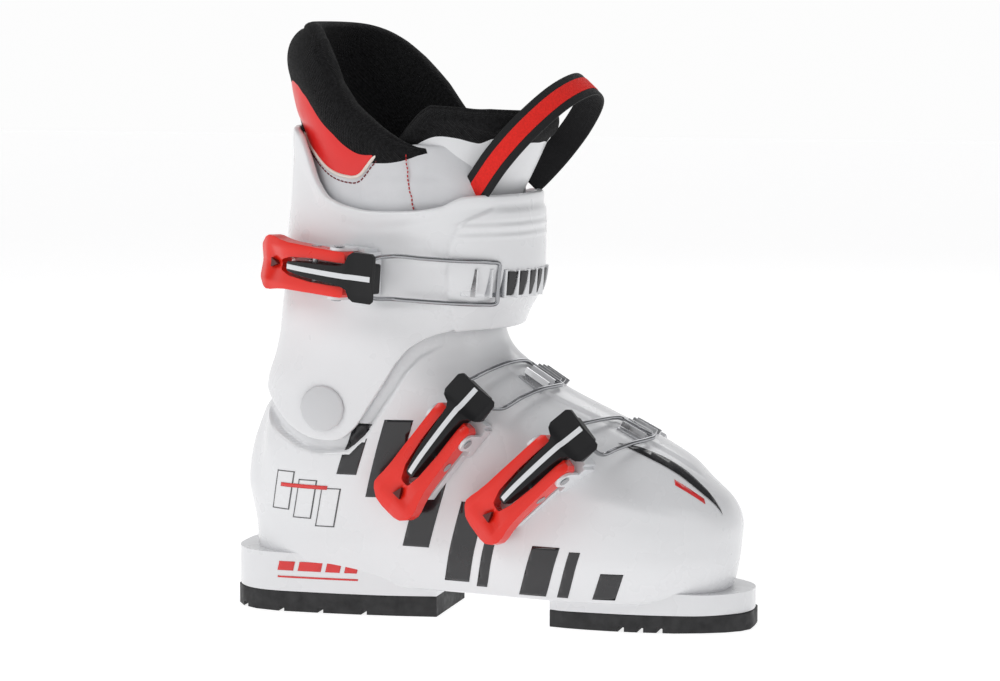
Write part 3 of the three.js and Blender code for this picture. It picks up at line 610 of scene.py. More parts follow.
# ---------------------------------------------------------------- finishes
class Slot(Enum):
    """The material slots that the pieces stand for."""

    SHELL = "shell_plastic"
    CAP = "cap_plastic"
    RUBBER = "sole_rubber"
    LEVER = "lever_paint"
    CARRIER = "carrier_plastic"
    STEEL = "steel"
    WIRE = "chrome_wire"
    ALLOY = "alloy"
    FLEECE = "fleece"
    LINER = "liner_fabric"
    BOARD = "board_plastic"
    FOOTBED = "footbed_foam"
    WEBBING = "webbing"


class Recipe:
    """A node material while it is being put together."""

    def __init__(self, name: str) -> None:
        """Starts a material with its usual shader.

        Args:
            name: the material's name.
        """
        self.material = bpy.data.materials.new(name)
        self.material.use_nodes = True
        self.nodes = self.material.node_tree.nodes
        self.links = self.material.node_tree.links
        self.shader = self.nodes["Principled BSDF"]
        self.place = self.nodes.new("ShaderNodeTexCoord").outputs["Object"]

    def set(self, **values: float | tuple[float, ...]) -> None:
        """Sets the shader's own sockets, with _ for a space in their names."""
        for name, value in values.items():
            self.shader.inputs[name.replace("_", " ")].default_value = value

    def noise(
        self, scale: float, detail: float = 3.0, stretch: tuple[float, float, float] = (1, 1, 1)
    ) -> object:
        """A noise texture's value.

        Args:
            scale: the texture's scale, in cycles a metre or so.
            detail: octaves.
            stretch: scale along each axis.

        Returns:
            The value's output socket.
        """
        mapping = self.nodes.new("ShaderNodeMapping")
        mapping.inputs["Scale"].default_value = stretch
        self.links.new(self.place, mapping.inputs["Vector"])
        texture = self.nodes.new("ShaderNodeTexNoise")
        texture.inputs["Scale"].default_value = scale
        texture.inputs["Detail"].default_value = detail
        self.links.new(mapping.outputs["Vector"], texture.inputs["Vector"])
        return texture.outputs["Fac"]

    def cells(self, scale: float) -> object:
        """Distances in a cell texture."""
        texture = self.nodes.new("ShaderNodeTexVoronoi")
        texture.inputs["Scale"].default_value = scale
        self.links.new(self.place, texture.inputs["Vector"])
        return texture.outputs["Distance"]

    def waves(self, scale: float, turn: tuple[float, float, float], ripple: float) -> object:
        """Parallel waves across a turned axis.

        Args:
            scale: the texture's scale.
            turn: rotation of the pattern in degrees.
            ripple: how far noise bends the waves.

        Returns:
            The value's output socket.
        """
        mapping = self.nodes.new("ShaderNodeMapping")
        mapping.inputs["Rotation"].default_value = [math.radians(t) for t in turn]
        self.links.new(self.place, mapping.inputs["Vector"])
        texture = self.nodes.new("ShaderNodeTexWave")
        texture.inputs["Scale"].default_value = scale
        texture.inputs["Distortion"].default_value = ripple
        texture.inputs["Detail Scale"].default_value = 2.0
        self.links.new(mapping.outputs["Vector"], texture.inputs["Vector"])
        return texture.outputs["Fac"]

    def spread(self, value: object, low: float, high: float) -> object:
        """Maps a texture's middle range to low and high.

        Args:
            value: the texture's output.
            low: what the low end becomes.
            high: what the high end becomes.

        Returns:
            The mapped output.
        """
        node = self.nodes.new("ShaderNodeMapRange")
        node.inputs["From Min"].default_value = 0.3
        node.inputs["From Max"].default_value = 0.7
        node.inputs["To Min"].default_value = low
        node.inputs["To Max"].default_value = high
        self.links.new(value, node.inputs["Value"])
        return node.outputs["Result"]

    def product(self, first: object, second: object) -> object:
        """The product of two values."""
        node = self.nodes.new("ShaderNodeMath")
        node.operation = "MULTIPLY"
        self.links.new(first, node.inputs[0])
        self.links.new(second, node.inputs[1])
        return node.outputs["Value"]

    def tint(self, value: object, dark: tuple[float, ...], light: tuple[float, ...]) -> None:
        """Colours the surface between dark and light by a texture's value.

        Args:
            value: the texture's output.
            dark: the colour at 0.
            light: the colour at 1.
        """
        node = self.nodes.new("ShaderNodeValToRGB")
        node.color_ramp.elements[0].position = 0.3
        node.color_ramp.elements[0].color = (*dark, 1)
        node.color_ramp.elements[1].position = 0.7
        node.color_ramp.elements[1].color = (*light, 1)
        self.links.new(value, node.inputs["Fac"])
        self.links.new(node.outputs["Color"], self.shader.inputs["Base Color"])

    def rough(self, value: object, low: float, high: float) -> None:
        """Varies the roughness between low and high by a texture's value."""
        self.links.new(self.spread(value, low, high), self.shader.inputs["Roughness"])

    def bump(self, value: object, height: float) -> None:
        """Raises the surface by a texture's value, to a height in millimetres.

        Args:
            value: the texture's output.
            height: the height of its full range.
        """
        node = self.nodes.new("ShaderNodeBump")
        node.inputs["Distance"].default_value = height * MM
        self.links.new(value, node.inputs["Height"])
        previous = self.shader.inputs["Normal"].links
        if previous:
            self.links.new(previous[0].from_socket, node.inputs["Normal"])
        self.links.new(node.outputs["Normal"], self.shader.inputs["Normal"])


def shade(color: tuple[float, float, float], by: float) -> tuple[float, ...]:
    """A colour made lighter or darker by a factor."""
    return tuple(min(1.0, c * by) for c in color)


@dataclass(frozen=True)
class Moulded:
    """Injection-moulded plastic with a faint orange peel and uneven gloss."""

    name: str
    color: tuple[float, float, float]
    roughness: float
    gloss: float = 0.3
    peel: float = 0.012
    shine: float = 0.5

    def material(self) -> bpy.types.Material:
        """Makes the material."""
        r = Recipe(self.name)
        r.tint(r.noise(16, 3), shade(self.color, 0.985), shade(self.color, 1.01))
        r.rough(r.noise(40, 3), self.roughness * 0.88, self.roughness * 1.15)
        r.bump(r.noise(900, 2), self.peel)
        r.set(Coat_Weight=self.gloss, Coat_Roughness=0.12, IOR=1.5, Specular_IOR_Level=self.shine)
        return r.material


@dataclass(frozen=True)
class Metal:
    """Metal with fine brushing along one axis and faint smudges."""

    name: str
    color: tuple[float, float, float]
    roughness: float
    brushing: tuple[float, float, float] = (1, 14, 14)

    def material(self) -> bpy.types.Material:
        """Makes the material."""
        r = Recipe(self.name)
        r.tint(r.noise(60, 4), shade(self.color, 0.88), shade(self.color, 1.06))
        r.rough(r.noise(90, 6, self.brushing), self.roughness * 0.6, self.roughness * 1.5)
        r.bump(r.noise(420, 3, self.brushing), 0.008)
        r.set(Metallic=1.0)
        return r.material


@dataclass(frozen=True)
class Rubber:
    """Matt moulded rubber, dusty in random blotches."""

    name: str
    color: tuple[float, float, float]

    def material(self) -> bpy.types.Material:
        """Makes the material."""
        r = Recipe(self.name)
        r.tint(r.noise(120, 6), shade(self.color, 0.75), shade(self.color, 1.5))
        r.rough(r.noise(200, 5), 0.5, 0.78)
        r.bump(r.cells(1400), 0.03)
        r.bump(r.noise(2600, 3), 0.03)
        return r.material


@dataclass(frozen=True)
class Knit:
    """Fleecy knitted lining with ribs, fuzz and sheen."""

    name: str
    color: tuple[float, float, float]

    def material(self) -> bpy.types.Material:
        """Makes the material."""
        r = Recipe(self.name)
        r.tint(r.noise(650, 5), shade(self.color, 0.5), shade(self.color, 1.9))
        stitches = r.product(r.waves(330, (0, 35, 20), 1.5), r.waves(330, (0, -35, 70), 1.5))
        r.bump(stitches, 0.35)
        r.bump(r.noise(1500, 4), 0.25)
        r.set(Roughness=0.95, Sheen_Weight=0.05, Sheen_Roughness=0.5, Specular_IOR_Level=0.15)
        return r.material


@dataclass(frozen=True)
class CoatedCloth:
    """Smooth coated cloth with a fine grain over foam."""

    name: str
    color: tuple[float, float, float]
    roughness: float = 0.42
    grain: float = 0.05

    def material(self) -> bpy.types.Material:
        """Makes the material."""
        r = Recipe(self.name)
        r.tint(r.noise(45, 5), shade(self.color, 0.94), shade(self.color, 1.03))
        r.rough(r.noise(150, 4), self.roughness * 0.85, self.roughness * 1.2)
        r.bump(r.cells(1100), self.grain)
        r.bump(r.noise(90, 3), 0.18)
        r.set(Coat_Weight=0.12, Coat_Roughness=0.3)
        return r.material


@dataclass(frozen=True)
class Weave:
    """Twill webbing with ribs across it."""

    name: str
    color: tuple[float, float, float]

    def material(self) -> bpy.types.Material:
        """Makes the material."""
        r = Recipe(self.name)
        r.tint(r.noise(900, 3), shade(self.color, 0.88), shade(self.color, 1.08))
        r.bump(r.product(r.waves(430, (20, 50, 0), 0.4), r.waves(430, (-40, 10, 60), 0.4)), 0.12)
        r.set(Roughness=0.8, Sheen_Weight=0.04, Sheen_Roughness=0.5, Specular_IOR_Level=0.25)
        return r.material


@dataclass(frozen=True)
class Print:
    """A flat printed film on the shell."""

    name: str
    color: tuple[float, float, float]

    def material(self) -> bpy.types.Material:
        """Makes the material."""
        r = Recipe(self.name)
        r.tint(r.noise(50, 4), shade(self.color, 0.9), shade(self.color, 1.1))
        r.rough(r.noise(80, 4), 0.16, 0.3)
        r.bump(r.noise(900, 2), 0.008)
        r.set(Coat_Weight=0.3, Coat_Roughness=0.1)
        return r.material


class Finishes:
    """All the finishes of the boot, made once."""

    def __init__(self) -> None:
        """Makes every material."""
        self.shell = Moulded("white_shell", (0.78, 0.785, 0.8), 0.28, 0.3).material()
        self.cap = Moulded("grey_cap", (0.62, 0.625, 0.64), 0.38, 0.15).material()
        self.lever = Moulded("red_lever", (0.78, 0.016, 0.006), 0.3, 0.12, 0.012, 0.4).material()
        self.carrier = Moulded("black_carrier", (0.006, 0.006, 0.007), 0.4, 0.0, 0.03, 0.3).material()
        # Dark red painted shade that stands in for the recess in each lever's tail.
        self.recess_painted_shade = Moulded("dark_red_painted_recess_shade", (0.09, 0.004, 0.003), 0.5, 0.0).material()
        self.stripe = Moulded("pale_stripe", (0.72, 0.73, 0.75), 0.3).material()
        self.insert = Moulded("black_insert", (0.02, 0.02, 0.022), 0.5, 0.05).material()
        self.board = Moulded("grey_board", (0.2, 0.21, 0.22), 0.6, 0.0).material()
        self.steel = Metal("bright_steel", (0.5, 0.505, 0.52), 0.2).material()
        self.chrome = Metal("chromed_wire", (0.36, 0.365, 0.38), 0.12, (1, 1, 1)).material()
        self.alloy = Metal("satin_alloy", (0.66, 0.665, 0.68), 0.26, (1, 1, 1)).material()
        self.rubber = Rubber("sole_rubber", (0.014, 0.014, 0.015)).material()
        self.fleece = Knit("black_fleece", (0.007, 0.007, 0.0075)).material()
        self.footbed = Knit("dark_footbed", (0.03, 0.03, 0.035)).material()
        self.liner = CoatedCloth("pale_liner", (0.66, 0.665, 0.685)).material()
        self.plate = CoatedCloth("white_plate", (0.78, 0.785, 0.8), 0.34, 0.02).material()
        self.red_panel = CoatedCloth("red_panel", (0.76, 0.014, 0.012), 0.34, 0.03).material()
        self.piping = CoatedCloth("cream_piping", (0.78, 0.7, 0.64), 0.5).material()
        self.thread = Weave("red_thread", (0.5, 0.03, 0.03)).material()
        self.dark_thread = Weave("dark_thread", (0.2, 0.03, 0.035)).material()
        self.band = Weave("black_webbing", (0.013, 0.013, 0.014)).material()
        self.band_stripe = Weave("red_webbing", (0.76, 0.02, 0.014)).material()
        self.black_print = Print("black_print", (0.012, 0.012, 0.014)).material()
        self.red_print = Print("red_print", (0.7, 0.02, 0.02)).material()
        self.line_print = Print("grey_line_print", (0.07, 0.07, 0.075)).material()
        self.floor = Moulded("white_floor", (0.42, 0.42, 0.423), 0.95, 0.0, 0.0).material()
        lit = self.floor.node_tree.nodes["Principled BSDF"].inputs
        lit["Emission Color"].default_value = (1, 1, 1, 1)
        lit["Emission Strength"].default_value = 0.82


def dress(
    obj: bpy.types.Object, material: bpy.types.Material, slot: Slot, body: str, *nodes: str
) -> bpy.types.Object:
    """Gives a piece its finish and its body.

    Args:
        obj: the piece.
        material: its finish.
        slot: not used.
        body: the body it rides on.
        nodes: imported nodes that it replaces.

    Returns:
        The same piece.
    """
    if not obj.data.materials:
        obj.data.materials.append(material)
    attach(obj, body)
    if nodes:
        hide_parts(*nodes)
    return obj


# ---------------------------------------------------------------- lower shell
def line_distance(points: Sequence[Sequence[float]], x: Array, z: Array) -> Array:
    """Distance from (x, z) to a line of points, positive below it.

    Args:
        points: the line, from rear to front.
        x: places along the boot.
        z: heights.

    Returns:
        One distance for each place.
    """
    p = np.stack([x, z], -1)
    nearest = np.full(x.shape, 1e9)
    for start, end in zip(points[:-1], points[1:]):
        a, d = np.array(start, float), np.subtract(end, start).astype(float)
        t = np.clip(((p - a) @ d) / (d @ d), 0, 1)
        nearest = np.minimum(nearest, np.linalg.norm(p - a - t[..., None] * d, axis=-1))
    below = z < np.interp(x, [q[0] for q in points], [q[1] for q in points])
    return np.where(below, nearest, -nearest)


TOE_PLAN = [
    (137, -32.5), (143, -34.6), (155, -35.2), (181, -34.5), (203.5, -31.5), (217, -28), (229, -20.5),
    (236, -13.5), (239.2, -6), (239.8, 0),
]
HEEL_PLAN = [
    (73, -26), (50, -30.5), (25, -33), (0, -34), (-14, -34), (-27, -31.5), (-36, -25.5), (-41.6, -17),
    (-43.8, -8), (-44, 0),
]


def plan_outline(half: Sequence[Sequence[float]], count: int = 64) -> list[tuple[float, float]]:
    """A full plan outline from its lateral half, smoothed and mirrored."""
    lateral = Path(half).even(count)
    return [tuple(p) for p in lateral] + [(x, -y) for x, y in lateral[::-1][1:]]


@dataclass
class LowerShell:
    """The moulded lower shell and its ledges."""

    finishes: Finishes
    wall: float = 3.4
    rows: int = 150
    turns: int = 400
    recess_gap: float = 5.5
    recess_depth: float = 4.3
    flap_height: float = 1.3

    def relief(self, p: Array) -> Array:
        """How far the outside stands proud of the plain body at points p.

        Args:
            p: points on the plain body.

        Returns:
            One height for each point.
        """
        x, y, z = p[..., 0], p[..., 1], p[..., 2]
        outside = line_distance(CUFF_FOOT, x, z)
        rim = step(self.recess_gap, self.recess_gap + 1.6, outside) * (1 - step(12, 52, outside))
        rim *= step(-30, -12, x) * (1 - step(38, 84, x)) * step(18, 34, np.abs(y))
        edge = np.interp(x, [100, 125, 165, 205, 216], [-17, -17, -14, -8, -4])
        flap = step(-0.9, 0.9, y - edge) * (1 - step(20, 34, y)) * step(101, 112, x) * (1 - step(203, 216, x))
        upper = step(60, 76, z)
        ridge = np.interp(x, [150, 190, 226], [74, 66, 60])
        crease = 0.7 * np.exp(-(((z - ridge) / 5) ** 2)) * step(150, 185, x) * step(20, 34, np.abs(y))
        return self.recess_depth * rim + self.flap_height * flap * upper + crease

    def build(self) -> bpy.types.Object:
        """Builds the shell's skin, its open throat and its rounded sole edge."""
        a = np.arange(self.turns) / self.turns
        a = np.where(a > 0.5, a - 1, a)
        k, a = np.meshgrid(np.linspace(0.3, 15, self.rows), a, indexing="ij")
        base = SHELL.point(k, a)
        normal = normals_of(base, True)
        outer = base + normal * self.relief(base)[..., None]
        inward = -normal[0] * [1, 1, 0]
        down = np.array([0, 0, outer[0][:, 2].mean() - 15])
        sole = [
            outer[0] + inward * 3 * (1 - math.cos(t)) - down * math.sin(t)
            for t in np.linspace(math.pi / 2, 0, 6)[:-1]
        ]
        inner = SHELL.point(k[-40:], a[-40:], self.wall)
        middle, radius = (outer[-1] + inner[-1]) / 2, self.wall / 2
        away = outer[-1] - outer[-3]
        away /= np.linalg.norm(away, axis=1)[:, None]
        lip = [
            middle + (outer[-1] - middle) * math.cos(t) + away * radius * math.sin(t)
            for t in np.linspace(0, math.pi, 8)[1:-1]
        ]
        grid = np.stack([*sole, *outer, *lip, *inner[::-1]])
        faces = [tuple(f) for f in grid_faces(len(grid), self.turns, False, True)]
        faces.append(tuple(range(self.turns)))
        skin = make("shell_skin", grid, faces)
        return dress(skin, self.finishes.shell, Slot.SHELL, "shell", "lower_shell")

    def ledge(
        self, name: str, half: Sequence[Sequence[float]], low: float, top: Callable[[Array], Array]
    ) -> None:
        """A sole ledge raised from its plan.

        Args:
            name: the piece's name.
            half: the plan's lateral half.
            low: the underside's height.
            top: the top's height at points.
        """

        def bend(p: Array) -> Array:
            """Sets the top's height."""
            return np.stack([p[:, 0], p[:, 1], np.where(p[:, 2] > low + 1, top(p), p[:, 2])], 1)

        piece = prism(name, plan_outline(half), low, low + 10, (range(-40, 236, 4), range(-30, 31, 6)), bend)
        dress(soften(piece, 1.7, 4, 40), self.finishes.shell, Slot.SHELL, "shell")

    def ledges(self) -> None:
        """Builds the toe and heel ledges that a binding holds."""
        self.ledge("toe_ledge", TOE_PLAN, 9.3, lambda p: 20 + 1.2 * step(225, 190, p[:, 0]))
        self.ledge("heel_ledge", HEEL_PLAN, 11.1, lambda p: 32 - 9.5 * step(46, 70, p[:, 0]))


@dataclass(frozen=True)
class Film:
    """A printed shape, laid on a surface from one direction."""

    name: str
    outline: tuple[tuple[float, float], ...]
    from_top: bool = False

    def lay(
        self, tree: BVHTree, material: bpy.types.Material, slot: Slot, body: str, proud: float = 0.16
    ) -> None:
        """Lays the film on a surface.

        Args:
            tree: the surface's search tree.
            material: the film's finish.
            slot: the slot it stands for.
            body: the body it rides on.
            proud: how far it stands off the surface in millimetres.
        """

        def wrap(p: Array) -> Array:
            """Drops each point on the surface.

            Args:
                p: points of the flat outline.

            Returns:
                The points on the surface.
            """
            wrapped = []
            for u, v, height in p:
                start = Vector((u, v, 400)) if self.from_top else Vector((u, -400, v))
                way = Vector((0, 0, -1)) if self.from_top else Vector((0, 1, 0))
                hit, normal, _, _ = tree.ray_cast(start * MM, way)
                if hit is None:
                    hit, normal, _, _ = tree.find_nearest(Vector((u, -40, v)) * MM)
                out = normal if normal.dot(way) < 0 else -normal
                wrapped.append((hit + out * (proud + height - 0.05) * MM) / MM)
            return np.array(wrapped)

        xs = [p[0] for p in self.outline]
        ys = [p[1] for p in self.outline]
        cuts = (np.arange(min(xs) + 1.5, max(xs), 3), np.arange(min(ys) + 1.5, max(ys), 3))
        dress(prism(self.name, self.outline, 0, 0.05, cuts, wrap), material, slot, body)


Outline = tuple[tuple[float, float], ...]


def slanted(x: float, z: float, width: float, height: float, lean: float) -> Outline:
    """A leaning bar's outline from its lower rear corner."""
    return ((x, z), (x + width, z), (x + width + lean, z + height), (x + lean, z + height))


def frame_outline(
    x: float, z: float, width: float, height: float, lean: float, line: float = 0.55
) -> Outline:
    """A leaning hollow frame's outline, cut through at one corner.

    Args:
        x: the lower rear corner's place along the boot.
        z: its height.
        width: the frame's width.
        height: the frame's height.
        lean: how far its top is shifted.
        line: the thickness of its line.

    Returns:
        The outline's points in order.
    """
    outer = slanted(x, z, width, height, lean)
    inside_height = height - 2 * line
    inside_lean = lean * (1 - 2 * line / height)
    inner = slanted(x + line * 1.2, z + line, width - 2.4 * line, inside_height, inside_lean)
    start = (outer[0][0] + 0.01, outer[0][1] + 0.01)
    end = (inner[0][0] + 0.02, inner[0][1] - 0.01)
    return (*outer, start, inner[0], inner[3], inner[2], inner[1], end)


@dataclass
class ShellPrints:
    """Plain bands, frames and bars printed on the lateral side and the toe."""

    finishes: Finishes

    def build(self, skin: bpy.types.Object, ledge_tree: BVHTree) -> None:
        """Lays all the prints.

        Args:
            skin: the lower shell.
            ledge_tree: the heel ledge's surface.
        """
        tree = tree_of(skin)
        black, red, line = self.finishes.black_print, self.finishes.red_print, self.finishes.line_print
        bands = [
            slanted(24, 78, 11, 27, 9), slanted(39, 66, 15, 42, 12), slanted(58, 40, 15, 40, 12),
            slanted(80, 22, 14, 44, 12), slanted(98, 20, 6, 40, 11), slanted(122, 17.5, 15, 28, 10),
            slanted(143, 17.5, 6, 26, 9), slanted(162, 17.5, 12, 15, 6),
        ]
        for i, outline in enumerate(bands):
            Film(f"shell_band_{i + 1}", outline).lay(tree, black, Slot.SHELL, "shell")
        wedge = (
            (172, -27), (182, -21), (194, -17), (206, -15), (217, -15.6), (226, -19), (216, -20.6),
            (204, -22), (190, -24.6),
        )
        Film("toe_band", wedge, True).lay(tree, black, Slot.SHELL, "shell", 0.45)
        for i, x in enumerate((-17, -4, 9)):
            outline = frame_outline(x, 56 - 4 * i, 11, 22, 6)
            Film(f"heel_frame_{i + 1}", outline).lay(tree, line, Slot.SHELL, "shell")
        Film("heel_bar", slanted(-10, 69, 28, 2.2, 0.6)).lay(tree, red, Slot.SHELL, "shell", 0.3)
        flash = ((203, -28.8), (218, -24.4), (217, -22.4), (202, -26.4))
        Film("toe_flash", flash, True).lay(tree, red, Slot.SHELL, "shell")
        for i, (x, width) in enumerate(((-14, 9), (-2.5, 13), (13, 8), (23.5, 7))):
            outline = slanted(x, 22.4, width, 5, 1.2)
            Film(f"ledge_bar_{i + 1}", outline).lay(ledge_tree, red, Slot.SHELL, "shell")
        Film("ledge_line", slanted(-14, 18.4, 45, 1, 0.3)).lay(ledge_tree, red, Slot.SHELL, "shell")


# ---------------------------------------------------------------- cuff
@dataclass
class Cuff:
    """The hinged cuff with its raised front flap, and the ankle caps."""

    finishes: Finishes
    wall: float = 3.2
    rows: int = 110
    turns: int = 300
    flap_height: float = 2.0

    def relief(self, p: Array, share: Array) -> Array:
        """How far the outside stands proud of the plain body.

        Args:
            p: points on the plain body, before the twist.
            share: how far up its column each point lies.

        Returns:
            Heights in millimetres.
        """
        x, y, z = p[..., 0], p[..., 1], p[..., 2]
        edge = smooth([150, 157, 168.6, 185, 201.6, 212, 220], [89.5, 88, 87, 89.5, 94, 101, 114], z)
        flap = step(-0.6, 0.6, x - edge) * (1 - step(24, 34, y)) * (1 - step(216, 222, z))
        ribbed = step(203, 205, z) * (1 - step(212, 214, z)) * step(96, 100, x)
        ribs = 0.45 * np.sin((z - 203) * 1.15) * ribbed
        between_wires = step(166, 172, z) * (1 - step(200, 207, z)) * (y < 0)
        trough = -1.3 * step(34, 50, x) * (1 - step(80, 87, x)) * between_wires
        bead = 0.9 * step(0.93, 0.985, share)
        belly = 0.8 * np.exp(-(((z - 150) / 9) ** 2)) * step(0, 20, x) * (1 - step(52, 66, x))
        return self.flap_height * flap + ribs * (y < 20) + trough + bead + belly

    def build(self) -> bpy.types.Object:
        """Builds the cuff's wall."""
        turn = np.arange(self.turns) / self.turns
        turn = np.where(turn > 0.5, turn - 1, turn)
        low = CUFF.ring_at(lambda x: curve(CUFF_FOOT, x) + 1, turn)
        high = CUFF.ring_at(lambda x: curve(CUFF_RIM, x) - 1, turn)
        share = np.linspace(0, 1, self.rows)[:, None] * np.ones_like(turn)
        k = low + (high - low) * share
        a = np.broadcast_to(turn, k.shape)
        base = CUFF.point(k, a)
        normal = normals_of(base, True)
        outer = base + normal * self.relief(base, share)[..., None]
        inner = base - normal * self.wall
        piece = wall("cuff_skin", twisted(outer), twisted(inner), True, 0.7)
        return dress(piece, self.finishes.shell, Slot.SHELL, "cuff", "cuff")

    def caps(self) -> None:
        """Rounds the ankle caps."""
        for side in ("lateral", "medial"):
            cap = copy_of(f"ankle_rivet_{side}", f"ankle_cap_{side}", 0.7, 3)
            dress(cap, self.finishes.cap, Slot.CAP, "shell")


# ---------------------------------------------------------------- sole pads and hidden parts
@dataclass
class Sole:
    """The rubber pads under the ledges, with their screws."""

    finishes: Finishes

    def build(self) -> None:
        """Rounds the pads and finishes the screws."""
        for node, name in (("toe_sole_pad", "toe_tread"), ("heel_sole_pad", "heel_tread")):
            dress(copy_of(node, name, 0.9, 3), self.finishes.rubber, Slot.RUBBER, "shell")
        for end, count in (("toe", 4), ("heel", 3)):
            for i in range(count):
                finish_node(f"{end}_sole_screw_{i + 1}", self.finishes.steel)


def finish_node(node: str, material: bpy.types.Material) -> None:
    """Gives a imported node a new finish."""
    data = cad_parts[node].data
    data.materials.clear()
    data.materials.append(material)


@dataclass
class Bedding:
    """The parts inside the shell that the foot rests in."""

    finishes: Finishes

    def build(self) -> None:
        """Builds the board, the footbed and the liner's foot."""
        dress(copy_of("boot_board", "bed_board", 0.8), self.finishes.board, Slot.BOARD, "shell")
        bed = dress(copy_of("footbed", "bed_cushion", 0.9), self.finishes.footbed, Slot.FOOTBED, "shell")
        foot = copy_of("liner_foot", "liner_sock", 1.2)
        ease(foot, 6)
        dress(foot, self.finishes.footbed, Slot.LINER, "shell")


def ease(obj: bpy.types.Object, passes: int) -> None:
    """Evens out a soft piece's facets without shrinking it much.

    Args:
        obj: the piece.
        passes: how many times it is evened.
    """
    subdivide = obj.modifiers.new("round", "SUBSURF")
    subdivide.levels = 1
    even = obj.modifiers.new("even", "SMOOTH")
    even.factor = 0.4
    even.iterations = passes
    apply_modifiers(obj)


# ---------------------------------------------------------------- liner
@dataclass(frozen=True)
class Roll:
    """A padded edge that follows a body's surface between two lines.

    The lateral side may have a lower top line than the medial side.
    """

    body: Body
    low: Sequence[tuple[float, float]]
    high: Sequence[tuple[float, float]]
    start: float
    end: float
    out: float
    thick: float
    drop: float
    lateral_high: Sequence[tuple[float, float]] | None = None

    def build(self, name: str, turns: int = 220) -> bpy.types.Object:
        """Builds the roll: up the outside, over the edge and down the inside.

        Args:
            name: the piece's name.
            turns: columns along the edge.

        Returns:
            The padded piece.
        """
        a = np.linspace(self.start, self.end, turns)
        a = np.where(a > 0.5, a - 1, a)
        low = self.body.ring_at(lambda x: curve(self.low, x), a)
        high = self.body.ring_at(lambda x: curve(self.high, x), a)
        if self.lateral_high is not None:
            high = np.where(a > 0, self.body.ring_at(lambda x: curve(self.lateral_high, x), a), high)
        high = np.maximum(high, low + 0.02)
        fade = np.minimum(np.linspace(0, 1, turns), np.linspace(1, 0, turns))
        fade = 0.08 + 0.92 * np.sqrt(step(0, 0.09, fade))
        shares = np.linspace(0, 1, 22)
        base = np.stack([self.body.point(low + (high - low) * s, a) for s in shares])
        swell = [self.out * math.sin(math.pi * min(1, 0.08 + 0.92 * s)) ** 0.6 for s in shares]
        normal = normals_of(base, False)
        outer = [b + n * (w * fade)[:, None] for b, n, w in zip(base, normal, swell)]
        thick = self.thick * fade * (1 - 0.45 * step(52, 76, self.body.point(low, a)[:, 0]))
        deepest = np.maximum(low - self.drop, 0.3)
        inner = []
        for s in np.linspace(1, 0, 16):
            p = self.body.point(deepest + (high - deepest) * s, a)
            depth = thick * (0.72 + 0.28 * math.sin(math.pi * (0.25 + 0.75 * s)))
            inner.append(p - level_outward(p) * depth[:, None])
        top = outer[-1]
        middle = (top + inner[0]) / 2
        radius = np.linalg.norm(top - inner[0], axis=1)[:, None] / 2
        lip = [
            middle + (top - middle) * math.cos(t) + np.array([0, 0, 1]) * radius * 0.72 * math.sin(t)
            for t in np.linspace(0, math.pi, 10)[1:-1]
        ]
        grid = np.stack([*outer, *lip, *inner])
        faces = [tuple(f) for f in grid_faces(len(grid), turns, True, False)]
        for column in (0, turns - 1):
            faces.append(tuple(k * turns + column for k in range(len(grid))))
        wave = noise(grid, 26, 5) * 0.35 + noise(grid, 9, 6) * 0.12
        grid = grid + level_outward(grid) * wave[..., None]
        piece = make(name, twisted(grid), faces)
        return piece


def level_outward(p: Array) -> Array:
    """Level unit directions that point away from the shaft's middle line."""
    away = np.stack([(p[..., 0] - 46) * 0.8, p[..., 1], 0 * p[..., 0]], -1)
    return away / np.maximum(np.linalg.norm(away, axis=-1)[..., None], 1e-6)


LATERAL_WING = [
    (-60, 312), (52, 280), (64, 266), (74, 257), (84, 252), (95, 248), (103, 241), (108, 228), (110, 200),
    (150, 190),
]
LATERAL_TOP = [
    (-60, 312), (-6, 312), (8, 310), (17, 303), (24, 293.5), (30, 282.5), (40, 270.5), (52, 262), (62, 256),
    (74, 251), (82, 250), (130, 250),
]
RED_EDGE = [
    (-60, 262), (-8, 261), (0, 258), (14.8, 247), (26.9, 238.3), (38.9, 234.9), (46, 236), (53.2, 243.9),
    (60, 250),
]
TONGUE_TOP = [
    (-10, 236), (56, 238), (64, 244), (70, 251), (77, 258), (86, 261.5), (98, 261), (114, 257),
    (131, 254.5), (150, 254),
]
TONGUE_EDGE = [
    (-10, 246), (54, 247), (62, 253), (70, 262), (77, 268.5), (85, 271.5), (109, 269), (133, 271), (150, 272),
]


MEDIAL_EDGE = [(x, z - 6.5 * float(step(128, 108, x))) for x, z in TONGUE_EDGE]


